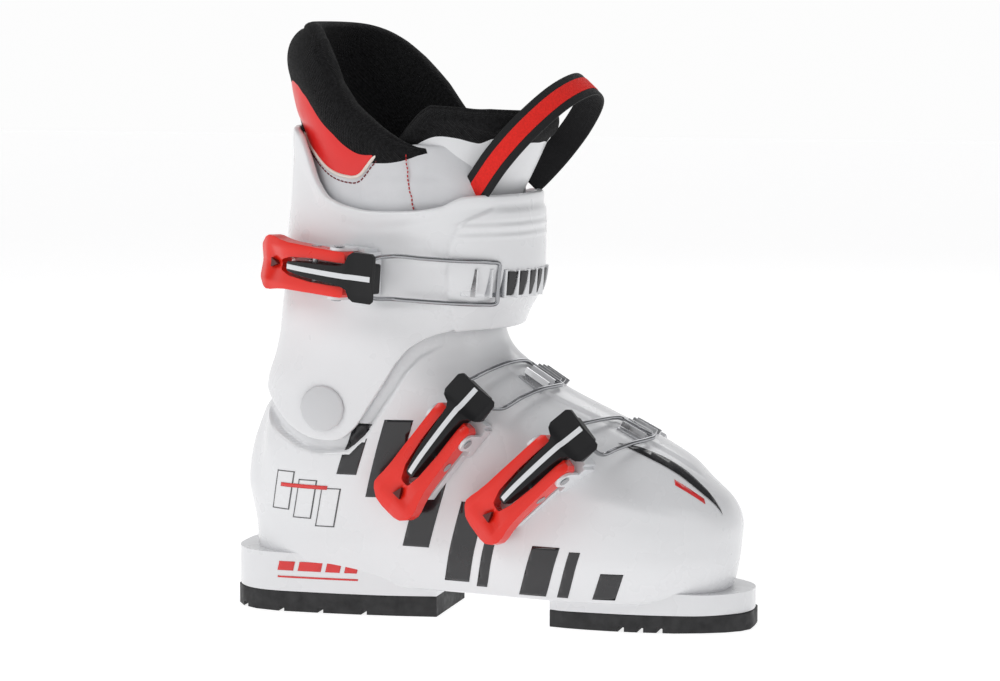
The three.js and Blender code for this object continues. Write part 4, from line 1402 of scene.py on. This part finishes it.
@dataclass
class Liner:
    """The soft inner boot's shaft, collar and tongue."""

    finishes: Finishes
    wall: float = 6.5

    def shaft(self) -> None:
        """Builds the shaft's wall and its trims."""
        turns = 300
        a = np.arange(turns) / turns
        a = np.where(a > 0.5, a - 1, a)
        foot = [(-60, 133), (20, 138), (60, 152), (76, 166), (92, 183), (104, 189), (150, 190)]

        def top(x: Array) -> Array:
            """The shaft's top edge on the medial side and behind."""
            return np.minimum(curve(COLLAR_LINE, x) + 2, curve(LINER_TOP, x))

        def side_top(x: Array) -> Array:
            """The shaft's top edge on the lateral side."""
            return np.minimum(curve(COLLAR_LINE, x) + 2, curve(LATERAL_WING, x))

        low = SHAFT.ring_at(lambda x: curve(foot, x), a)
        high = np.where(a > 0, SHAFT.ring_at(side_top, a), SHAFT.ring_at(top, a))
        high = np.maximum(high, low + 0.05)
        share = np.linspace(0, 1, 70)[:, None]
        k = low + (high - low) * share
        angle = np.broadcast_to(a, k.shape)
        base = SHAFT.point(k, angle)
        normal = normals_of(base, True)
        x, z = base[..., 0], base[..., 2]
        panel = 0.7 * step(46, 49, x) * (1 - step(84, 92, x)) * step(219, 223, z) * (1 - step(232, 236, z))
        wing = 3.4 * step(82, 101, x) * step(205, 226, z)
        outer = base + normal * (panel + wing + 0.25 * noise(base, 30, 3))[..., None]
        inner = base - normal * (self.wall * (1 - 0.55 * step(78, 100, x)) - wing)[..., None]
        piece = wall("liner_shell", twisted(outer), twisted(inner), True, 0.9)
        dress(piece, self.finishes.liner, Slot.LINER, "cuff", "liner_shaft")
        self.trims()

    def edge_points(
        self, line: Sequence[tuple[float, float]], start: float, end: float, proud: float
    ) -> Array:
        """Points along a line on the shaft's outside.

        Args:
            line: heights over x.
            start: first turn.
            end: last turn.
            proud: how far off the surface.

        Returns:
            Points in millimetres, twisted with the shaft.
        """
        a = np.linspace(start, end, 260)
        ring = SHAFT.ring_at(lambda x: curve(line, x), a)
        return twisted(SHAFT.point(ring, a, -proud))

    def trims(self) -> None:
        """Adds the rear panel, its piping and the stitched seams."""
        turns, rows = 200, 14
        a = np.linspace(-0.292, 0.292, turns)
        low = SHAFT.ring_at(lambda x: curve(RED_EDGE, x), a)
        high = np.maximum(SHAFT.ring_at(lambda x: curve(COLLAR_LINE, x) + 2, a), low + 0.01)
        k = low + (high - low) * np.linspace(0, 1, rows)[:, None]
        angle = np.broadcast_to(a, k.shape)
        bulge = 0.9 * np.sin(np.pi * np.linspace(0, 1, rows))[:, None] * np.ones(turns)
        outer = np.stack([SHAFT.point(k[i], angle[i], -0.5 - bulge[i, 0]) for i in range(rows)])
        inner = np.stack([SHAFT.point(k[i], angle[i], 0.6) for i in range(rows)])
        panel = wall("liner_rear_panel", twisted(outer), twisted(inner), False, 0.6)
        dress(panel, self.finishes.red_panel, Slot.LINER, "cuff")
        piping = tube("liner_piping", self.edge_points(RED_EDGE, -0.292, 0.292, 0.5), 0.9)
        dress(piping, self.finishes.piping, Slot.LINER, "cuff")
        lower = [(x, z - 3) for x, z in RED_EDGE]
        hem = self.edge_points(lower, -0.3, 0.3, 0.1)
        self.stitches("liner_panel_stitches", hem, 2.6, self.finishes.dark_thread)
        for side, sign in (("lateral", 1), ("medial", -1)):
            seam = np.linspace(0, 1, 60)[:, None] * [5.0, -34.0] + [71.5, 249.0]
            points = []
            for x, z in seam:
                turn = np.linspace(0.2, 0.47, 120)
                ring = SHAFT.ring_at(lambda _x, z=z: np.full_like(_x, z), turn)
                spots = SHAFT.point(ring, turn * sign, -1.0)
                points.append(spots[np.argmin(np.abs(spots[:, 0] - x))])
            line = Path(twisted(np.array(points[::6]))).even(120)
            self.stitches(f"liner_seam_{side}", line, 2.1, self.finishes.thread)

    def stitches(self, name: str, points: Array, pitch: float, material: bpy.types.Material) -> None:
        """A row of stitches along a line.

        Args:
            name: the row's name.
            points: the line.
            pitch: distance from stitch to stitch.
            material: the thread's finish.
        """
        count = int(np.linalg.norm(np.diff(points, axis=0), axis=1).sum() / pitch)
        line = Path(points[:: max(1, len(points) // 60)]).even(count * 3 + 1)
        made = [tube(f"{name}_{i}", line[i * 3 : i * 3 + 3], 0.38, 6) for i in range(count)]
        dress(joined(name, made), material, Slot.LINER, "cuff")

    def collar(self) -> None:
        """Builds the fleecy padded collar, which lines the inside too."""
        roll = Roll(SHAFT, COLLAR_LINE, LINER_TOP, -0.345, 0.345, 2.6, 13.5, 4.6, LATERAL_TOP)
        dress(roll.build("collar_roll", 360), self.finishes.fleece, Slot.FLEECE, "cuff", "liner_collar")

    def tongue(self) -> None:
        """Builds the tongue's plate and its padded rim."""
        turns, rows = 180, 60
        a = np.linspace(0.222, 0.778, turns)
        a = np.where(a > 0.5, a - 1, a)
        low = TONGUE.ring_at(lambda x: np.interp(x, [56, 66, 76, 100, 150], [190, 182, 174, 184, 195]), a)
        high = TONGUE.ring_at(lambda x: curve(TONGUE_TOP, x) + 1, a)
        k = low + (high - low) * np.linspace(0, 1, rows)[:, None]
        angle = np.broadcast_to(a, k.shape)
        base = TONGUE.point(k, angle)
        normal = normals_of(base, False)
        plate = 1.1 * step(31, 27, np.abs(base[..., 1])) * step(0, 8, base[..., 2] - 196)
        outer = base + normal * plate[..., None]
        piece = wall("tongue_plate", twisted(outer), twisted(base - normal * 5.5), False, 0.8)
        dress(piece, self.finishes.plate, Slot.LINER, "cuff", "liner_tongue")
        roll = Roll(TONGUE, TONGUE_TOP, MEDIAL_EDGE, 0.2, 0.8, 3.6, 10.5, 1.6, TONGUE_EDGE)
        rim = roll.build("tongue_rim", 240)
        dress(rim, self.finishes.fleece, Slot.FLEECE, "cuff")


@dataclass
class PullLoop:
    """The striped webbing loop that pulls the boot on."""

    finishes: Finishes
    half: float = 7.9
    stripe: float = 4.0
    thick: float = 1.7

    def band(self, name: str, half: float, inner: float, outer: float) -> bpy.types.Object:
        """A strip that follows the arch.

        Args:
            name: the strip's name.
            half: half its width.
            inner: its underside's distance from the arch.
            outer: its top's distance.

        Returns:
            The strip.
        """
        arch = [
            (-29, -13), (-33, -2), (-37, 16), (-34, 36), (-21, 56), (0, 64), (21, 56), (34, 36), (37, 16),
            (34, 0), (31, -6),
        ]
        flat = Path(arch).even(140)
        along = np.gradient(flat, axis=0)
        along /= np.linalg.norm(along, axis=1)[:, None]
        out = np.stack([-along[:, 1], along[:, 0]], 1)
        turn = np.array([[math.cos(SHAFT_TWIST), -math.sin(SHAFT_TWIST), 0],
                         [math.sin(SHAFT_TWIST), math.cos(SHAFT_TWIST), 0], [0, 0, 1]])
        across, rise = turn @ [0, 1, 0], turn @ (np.array([0.66, 0, 0.75]) / math.hypot(0.66, 0.75))
        side = np.cross(across, rise)
        origin = np.array([109.3, -9.4, 234.5])
        grid = []
        section = [
            (-1, 0.15), (-0.9, 0), (0, 0), (0.9, 0), (1, 0.15), (1, 0.85), (0.9, 1), (0, 1), (-0.9, 1),
            (-1, 0.85),
        ]
        for p, n in zip(flat, out):
            ring = []
            for s, h in section:
                q = p + n * (inner + (outer - inner) * h)
                ring.append(origin + across * q[0] + rise * q[1] + side * s * half)
            grid.append(ring)
        faces = [tuple(f) for f in grid_faces(len(grid), len(section), False, True)]
        last = len(grid) * len(section) - 1
        faces += [tuple(range(len(section))), tuple(last - i for i in range(len(section)))]
        return make(name, np.array(grid), faces)

    def build(self) -> None:
        """Builds the band and its stripe."""
        band = self.band("loop_band", self.half, 0.2, self.thick)
        dress(band, self.finishes.band, Slot.WEBBING, "cuff", "pull_loop")
        stripe = self.band("loop_stripe", self.stripe, self.thick - 0.2, self.thick + 0.25)
        dress(stripe, self.finishes.band_stripe, Slot.WEBBING, "cuff")


# ---------------------------------------------------------------- buckles
@dataclass(frozen=True)
class Strap:
    """The plane that one buckle or ladder lies in, over a body's surface."""

    center: tuple[float, float, float]
    travel: tuple[float, float, float]
    side: tuple[float, float, float]
    along: float = 0.0
    out: float = 0.0

    def axes(self) -> tuple[Array, Array, Array]:
        """Unit travel, side and outward directions."""
        travel = np.array(self.travel) / np.linalg.norm(self.travel)
        outward = np.cross(self.side, travel)
        outward /= np.linalg.norm(outward)
        return travel, np.cross(travel, outward), outward

    def pivot(self) -> Array:
        """The lever's pivot."""
        travel, _, outward = self.axes()
        return np.array(self.center) + travel * self.along + outward * self.out

    def place(self, p: Array) -> Array:
        """Moves points from the lever's own frame into the boot's."""
        travel, side, outward = self.axes()
        return self.pivot() + p[..., :1] * travel - p[..., 1:2] * side + p[..., 2:] * outward

    def settle(self, skin: BVHTree, point: Array, height: float) -> Array:
        """Moves a point straight in or out to a height above the skin.

        Args:
            skin: the surface.
            point: the point.
            height: the height above the surface.

        Returns:
            The moved point.
        """
        _, side, _ = self.axes()
        origin = np.array(self.center) + side * ((point - self.center) @ side)
        way = (point - origin) / np.linalg.norm(point - origin)
        far = Vector((origin + way * 400) * MM)
        hit = skin.ray_cast(far, Vector(-way))[0]
        return np.array(hit) / MM + way * height

    def at(self, skin: BVHTree, angle: float, height: float, shift: float = 0.0) -> Array:
        """The point at an angle round the strap and a height above the skin."""
        travel, side, outward = self.axes()
        start = np.array(self.center) + side * shift
        way = outward * math.cos(angle) + travel * math.sin(angle)
        return self.settle(skin, start + way * 10, height)


TOOTH_PITCH = 7.4
HOOK_BEHIND_TOOTH = 5.05  # from a tooth's face to the middle of the crossbar behind it
BAIL_AT = 22.0  # from the lever's pin to the wire's hinge line
BAIL_BELOW = 2.2  # how far the hinge line is under the pin
LEG_ASIDE = 11.3  # from the buckle's middle to each leg of the wire
WIRE_LIFT = 3.35  # the wire's middle above the skin


@dataclass(frozen=True)
class Ladder:
    """One ladder: the angles of its end and its first tooth, and how many teeth it has and are passed."""

    end: float
    tooth: float
    teeth: int
    hooked: int
    filled: bool = False


@dataclass
class Buckle:
    """A fork lever, its sliding carrier, the wire bail, the base and the toothed ladder."""

    name: str
    body: str
    strap: Strap
    ladder_strap: Strap
    ladder: Ladder
    skin: BVHTree
    finishes: Finishes

    def reach(self, angle: float) -> float:
        """How far the skin is from the ladder's centre at an angle."""
        spot = self.ladder_strap.at(self.skin, angle, 0)
        return float(np.linalg.norm(spot - np.array(self.ladder_strap.center)))

    def block(
        self,
        name: str,
        outline: Sequence[tuple[float, float]],
        top: Sequence[tuple[float, float]],
        bottom: Sequence[tuple[float, float]],
        bevel: float,
        dip: Field | None = None,
    ) -> bpy.types.Object:
        """A plan outline raised between two side curves in the lever's frame.

        Args:
            name: the piece's name.
            outline: the plan.
            top: heights of the top over x.
            bottom: heights of the underside over x.
            bevel: the edges' rounding.
            dip: extra height of the top over x and y.

        Returns:
            The piece, placed.
        """

        def bend(p: Array) -> Array:
            """Bends the block to its side curves and places it.

            Args:
                p: points of the flat block.

            Returns:
                The points in place.
            """
            high = curve(top, p[:, 0])
            if dip is not None:
                high = high + dip(p[:, 0], p[:, 1])
            share = (p[:, 2] + 1) / 2
            z = curve(bottom, p[:, 0]) * (1 - share) + high * share
            return self.strap.place(np.stack([p[:, 0], p[:, 1], z], 1))

        cuts = (np.arange(-57.3, 28, 2.1), (-10.5, -8.5, -1, 1, 8.5, 10.5))
        return soften(prism(name, outline, -1, 1, cuts, bend), bevel, 4, 38)

    def lever(self) -> None:
        """Builds the fork lever."""
        end = [(-36 - 3.2 * math.sin(t), 3.2 * math.cos(t)) for t in np.linspace(0.1, math.pi - 0.1, 8)]
        half = [
            (8, 6.1), (8, 10.2), (6.4, 11.8), (-12, 12), (-34, 12.4), (-41, 13.2), (-46, 14.2), (-49.5, 14.3),
            (-53, 12.8), (-56.5, 9.4), (-58.6, 4.6), (-59.2, 0),
        ]
        outline = [*half, *[(x, -y) for x, y in half[::-1][1:]], (-14, -6.2), (-30, -5), *end[::-1]]
        outline += [(-30, 5), (-14, 6.2)]
        top = [(-60, -4.4), (-57, -1.6), (-50, 1.8), (-34, 4.8), (-12, 5.6), (3, 5.6), (8, 4.2)]
        bottom = [
            (-60, -6.6), (-57, -8), (-46, -6.4), (-32, -5.4), (-10, -5.4), (0, -6.2), (4, -5.6), (8, -3.2),
        ]

        def crown(x: Array, y: Array) -> Array:
            """Rounds the legs and hollows the tail between two ridges."""
            middle = np.interp(x, [-46, -36, 0], [9.8, 8.4, 8.9])
            legs = -0.05 * (np.abs(y) - middle) ** 2 * step(-52, -44, x)
            tail = -1.5 * np.exp(-((y / 5.5) ** 2)) * step(-38, -50, x)
            return legs + tail

        piece = self.block(f"{self.name}_fork", outline, top, bottom, 1.7, crown)
        # The dark red triangle is painted shade standing in for a recess in the tail; no recess is cut into
        # the lever.
        mark = [(-41.5, 0), (-47.5, 2.5), (-47.5, -2.5)]
        flat = [(x, z - 0.25) for x, z in top]
        recess_painted_shade = self.block(f"{self.name}_recess", mark, flat, [(x, z - 1.6) for x, z in top], 0.1, crown)
        dress(recess_painted_shade, self.finishes.recess_painted_shade, Slot.LEVER, f"{self.name}_lever")
        dress(piece, self.finishes.lever, Slot.LEVER, f"{self.name}_lever", f"{self.name}_lever")
        finish_node(f"{self.name}_carrier_pin", self.finishes.steel)

    def carrier(self) -> None:
        """Builds the carrier bar and its inlaid stripe."""
        half = [
            (-33.4, 1.6), (-32, 2.4), (-18, 3.8), (4, 4.8), (9, 5.4), (11.5, 7), (13, 11.2), (15, 12.9),
            (25, 13), (27, 11.4),
        ]
        outline = [*half, *[(x, -y) for x, y in half[::-1]]]
        top = [(-34, 3), (-31, 5.6), (-20, 7.6), (0, 8.4), (12, 7.8), (14.5, 6.2), (28, 3.6)]
        bottom = [(-34, -1), (-32, -3), (-22, -4.4), (9, -3.4), (14, 0.2), (28, 1.2)]

        def stepped(x: Array, y: Array) -> Array:
            """Lowers one side of the head."""
            return -2.0 * step(-1.6, -3.2, y) * step(9, 12, x)

        piece = self.block(f"{self.name}_bar", outline, top, bottom, 1.2, stepped)
        boss = rounded_block(f"{self.name}_boss", self.strap, (22, 0, -1.6), (4, 7.8, 3.2))
        piece = joined(f"{self.name}_bar", [piece, boss])
        body = f"{self.name}_carrier"
        dress(piece, self.finishes.carrier, Slot.CARRIER, body, f"{self.name}_carrier")
        inlay = [(-31.4, -1.3), (26, -1.4), (26, 1.4), (-31.4, 1.3)]
        lift = [(x, z + 0.22) for x, z in top]
        stripe = self.block(f"{self.name}_stripe", inlay, lift, [(x, z - 0.8) for x, z in top], 0.15)
        dress(stripe, self.finishes.stripe, Slot.CARRIER, body)

    def wire(self) -> None:
        """Bends the wire bail."""
        travel, side, outward = self.strap.axes()
        other = self.ladder_strap.axes()[1]
        first = math.radians(self.ladder.tooth)
        reach = self.reach(first)
        angle = first + (self.ladder.hooked * TOOTH_PITCH + HOOK_BEHIND_TOOTH) / reach

        def hinge(s: float) -> Array:
            """A point on the wire's hinge line, `s` from its middle."""
            return self.strap.pivot() + travel * BAIL_AT - outward * BAIL_BELOW + side * s

        def hook(s: float) -> Array:
            """A point on the wire's crossbar, `s` from its middle."""
            return self.ladder_strap.at(self.skin, angle, WIRE_LIFT) + other * s

        halves = []
        for sign in (1, -1):
            legs = []
            for share in (0.16, 0.4, 0.65, 0.88):
                leg = sign * LEG_ASIDE
                chord = hinge(leg) * (1 - share) + hook(leg) * share
                legs.append(self.strap.settle(self.skin, chord, WIRE_LIFT + (1 - share) ** 2 * 7))
            start = [hinge(sign * s) for s in (0.35, 4, 7.5, 9.6)]
            halves.append([*start, *legs, hook(sign * 10.1), hook(sign * 5)])
        line = Path([*halves[0], *halves[1][::-1]]).even(220)
        piece = tube(f"{self.name}_wire", line, 1.15, 14)
        dress(piece, self.finishes.chrome, Slot.WIRE, f"{self.name}_bail", f"{self.name}_bail")

    def fittings(self) -> None:
        """Rounds the base, its rivets and the lever's pins, and finishes the ladder."""
        base = copy_of(f"{self.name}_base", f"{self.name}_plate", 0.6)
        dress(base, self.finishes.stripe, Slot.ALLOY, self.body)
        for part in ("base_rivet_1", "base_rivet_2", "lever_pin_rear", "lever_pin_front"):
            pin = copy_of(f"{self.name}_{part}", f"{self.name}_{part}_head", 0.4)
            dress(pin, self.finishes.steel, Slot.STEEL, self.body)
        rack = copy_of(f"{self.name}_ladder", f"{self.name}_rack", 0.3, 2)
        dress(rack, self.finishes.alloy, Slot.ALLOY, self.body)
        self.tab()
        if self.ladder.filled:
            self.inserts()

    def tab(self) -> None:
        """Adds the rounded tab at the ladder's end, bent over the surface."""
        end = math.radians(self.ladder.end)
        reach = self.reach(end)
        turns = np.linspace(0.15, math.pi - 0.15, 12)
        outline = [(-5.0, 6.8), (1.5, 6.8), *[(1.5 + 5.5 * math.sin(t), 6.8 * math.cos(t)) for t in turns]]
        outline += [(1.5, -6.8), (-5.0, -6.8)]

        def bend(p: Array) -> Array:
            """Lays the tab over the skin."""
            return np.array([self.ladder_strap.at(self.skin, end + x / reach, z, y) for x, y, z in p])

        tab = prism(f"{self.name}_tab", outline, 1.9, 3.7, (np.arange(-4, 7, 1.5), (-4, 0, 4)), bend)
        dress(soften(tab, 0.6, 3), self.finishes.cap, Slot.ALLOY, self.body)

    def inserts(self) -> None:
        """Fills the gaps between the ladder's teeth with black plastic."""
        first = math.radians(self.ladder.tooth)
        reach = self.reach(first)
        pitch = TOOTH_PITCH / reach
        made = []
        for i in range(self.ladder.hooked + 1, self.ladder.teeth):
            start = first + i * pitch + 2.6 / reach
            grid = []
            for height in (1.9, 3.9):
                for share in np.linspace(0, 1, 5):
                    angle = start + share * (pitch - 3.2 / reach)
                    grid.append([self.ladder_strap.at(self.skin, angle, height, s) for s in (-6.4, 0, 6.4)])
            grid = np.array(grid)
            rows = [*grid[:5], *grid[5:][::-1]]
            faces = [tuple(f) for f in grid_faces(10, 3, True, False)]
            faces += [tuple(k * 3 + c for k in range(10)) for c in (0, 2)]
            made.append(soften(make(f"{self.name}_filler_{i}", np.array(rows), faces), 0.35, 2))
        dress(joined(f"{self.name}_fillers", made), self.finishes.insert, Slot.ALLOY, self.body)

    def build(self) -> None:
        """Builds the whole buckle."""
        self.lever()
        self.carrier()
        self.wire()
        self.fittings()


def rounded_block(
    name: str, strap: Strap, middle: Sequence[float], half: Sequence[float]
) -> bpy.types.Object:
    """A rounded block in a strap's frame.

    Args:
        name: the block's name.
        strap: the strap whose frame it is in.
        middle: its middle.
        half: half its sizes.

    Returns:
        The block.
    """
    corners = ((-1, -1), (1, -1), (1, 1), (-1, 1))
    outline = [(middle[0] + half[0] * u, middle[1] + half[1] * v) for u, v in corners]
    block = prism(name, outline, middle[2] - half[2], middle[2] + half[2], ((), ()), strap.place)
    return soften(block, 1.2, 3)


# ---------------------------------------------------------------- studio
@dataclass
class Studio:
    """A pale floor, soft lights and the camera."""

    finishes: Finishes
    azimuth: float = 16.0
    elevation: float = 6.5
    distance: float = 1.5
    lens: float = 101.3

    def build(self) -> None:
        """Sets up the floor, the lights, the world and the camera."""
        floor = prism("floor", ((-6000, -6000), (6000, -6000), (6000, 6000), (-6000, 6000)), -4, -0.2)
        floor.data.materials.append(self.finishes.floor)
        self.light("key_light", (-0.9, -1.1, 1.5), 0.9, 11)
        self.light("fill_light", (1.6, -0.6, 0.9), 0.8, 1.6)
        self.light("top_light", (0.1, 0.3, 1.9), 0.9, 6)
        self.light("back_light", (0.3, 1.6, 1.2), 0.9, 4.5)
        world = bpy.data.worlds.new("studio")
        world.use_nodes = True
        self.sky(world.node_tree)
        bpy.context.scene.world = world
        bpy.context.scene.view_settings.view_transform = "Standard"
        a, e = math.radians(self.azimuth), math.radians(self.elevation)
        target = Vector((0.1007, 0, 0.1463))
        way = Vector((math.sin(a) * math.cos(e), -math.cos(a) * math.cos(e), math.sin(e)))
        data = bpy.data.cameras.new("camera")
        data.lens, data.sensor_width = self.lens, 36
        data.dof.use_dof = False
        data.clip_start = 0.05
        camera = bpy.data.objects.new("camera", data)
        camera.location = target + way * self.distance
        camera.rotation_euler = (-way).to_track_quat("-Z", "Y").to_euler()
        bpy.context.scene.collection.objects.link(camera)
        bpy.context.scene.camera = camera

    def sky(self, tree: bpy.types.NodeTree) -> None:
        """Makes the world white at the horizon and dimmer overhead.

        Args:
            tree: the world's node tree.
        """
        place = tree.nodes.new("ShaderNodeTexCoord")
        split = tree.nodes.new("ShaderNodeSeparateXYZ")
        ramp = tree.nodes.new("ShaderNodeValToRGB")
        ramp.color_ramp.elements[0].position = 0.16
        ramp.color_ramp.elements[0].color = (1, 1, 1, 1)
        ramp.color_ramp.elements[1].position = 0.42
        ramp.color_ramp.elements[1].color = (0.2, 0.2, 0.205, 1)
        tree.links.new(place.outputs["Generated"], split.inputs["Vector"])
        tree.links.new(split.outputs["Z"], ramp.inputs["Fac"])
        tree.links.new(ramp.outputs["Color"], tree.nodes["Background"].inputs["Color"])
        tree.nodes["Background"].inputs["Strength"].default_value = 0.98

    def light(self, name: str, place: tuple[float, float, float], size: float, power: float) -> None:
        """Hangs one soft light that looks at the boot.

        Args:
            name: the light's name.
            place: where it hangs, in metres.
            size: the side of its panel.
            power: watts.
        """
        data = bpy.data.lights.new(name, "AREA")
        data.shape, data.size, data.energy = "SQUARE", size, power
        lamp = bpy.data.objects.new(name, data)
        lamp.location = place
        lamp.rotation_euler = (Vector((0.1, 0, 0.13)) - Vector(place)).to_track_quat("-Z", "Y").to_euler()
        bpy.context.scene.collection.objects.link(lamp)


def skin_tree(body: Body, twist: bool) -> BVHTree:
    """A search tree of a body's plain outside.

    Args:
        body: the body.
        twist: whether it is turned with the shaft.

    Returns:
        The tree.
    """
    turns = np.arange(180) / 180
    turns = np.where(turns > 0.5, turns - 1, turns)
    k, a = np.meshgrid(np.linspace(0, body.rear.spans, 120), turns, indexing="ij")
    grid = body.point(k, a)
    grid = (twisted(grid) if twist else grid) * MM
    return BVHTree.FromPolygons(grid.reshape(-1, 3).tolist(), grid_faces(120, 180, False, True).tolist())


def main() -> None:
    """Builds every sub-assembly in order."""
    logging.basicConfig(level=logging.INFO, format="%(message)s")
    finishes = Finishes()
    shell = LowerShell(finishes)
    skin = shell.build()
    shell.ledges()
    ShellPrints(finishes).build(skin, tree_of(bpy.data.objects["heel_ledge"]))
    cuff = Cuff(finishes)
    cuff.build()
    cuff.caps()
    Sole(finishes).build()
    Bedding(finishes).build()
    liner = Liner(finishes)
    liner.shaft()
    liner.collar()
    liner.tongue()
    PullLoop(finishes).build()
    shell_tree, cuff_tree = skin_tree(SHELL, False), skin_tree(CUFF, True)
    instep = Strap((94, 0, 92), (0.616, 0, 0.788), (0.768, -0.224, -0.601), 9, 56.7)
    toe = Strap((150, 0, 78), (0.731, -0.06, 0.682), (0.66, -0.24, -0.708), 9, 61)
    shaft = Strap((50, 0, 185), (0.912, -0.406, -0.07), (-0.07, 0, -1), 9.8, 66.4)
    instep_ladder = Strap((102, 0, 87), (0.51, 0, 0.86), (0.855, -0.12, -0.505))
    toe_ladder = Strap((162.4, 0, 69), (0.43, 0, 0.9), (0.895, -0.12, -0.43))
    plain = [
        ("instep", "shell", instep, instep_ladder, Ladder(134, 72, 5, 1), shell_tree),
        ("toe", "shell", toe, toe_ladder, Ladder(134, 70, 4, 0), shell_tree),
        ("cuff_buckle", "cuff", shaft, shaft, Ladder(124, 71, 7, 1, True), cuff_tree),
    ]
    for name, body, strap, ladder_strap, ladder, tree in plain:
        Buckle(name, body, strap, ladder_strap, ladder, tree, finishes).build()
    Studio(finishes).build()


if __name__ == "__main__":
    main()
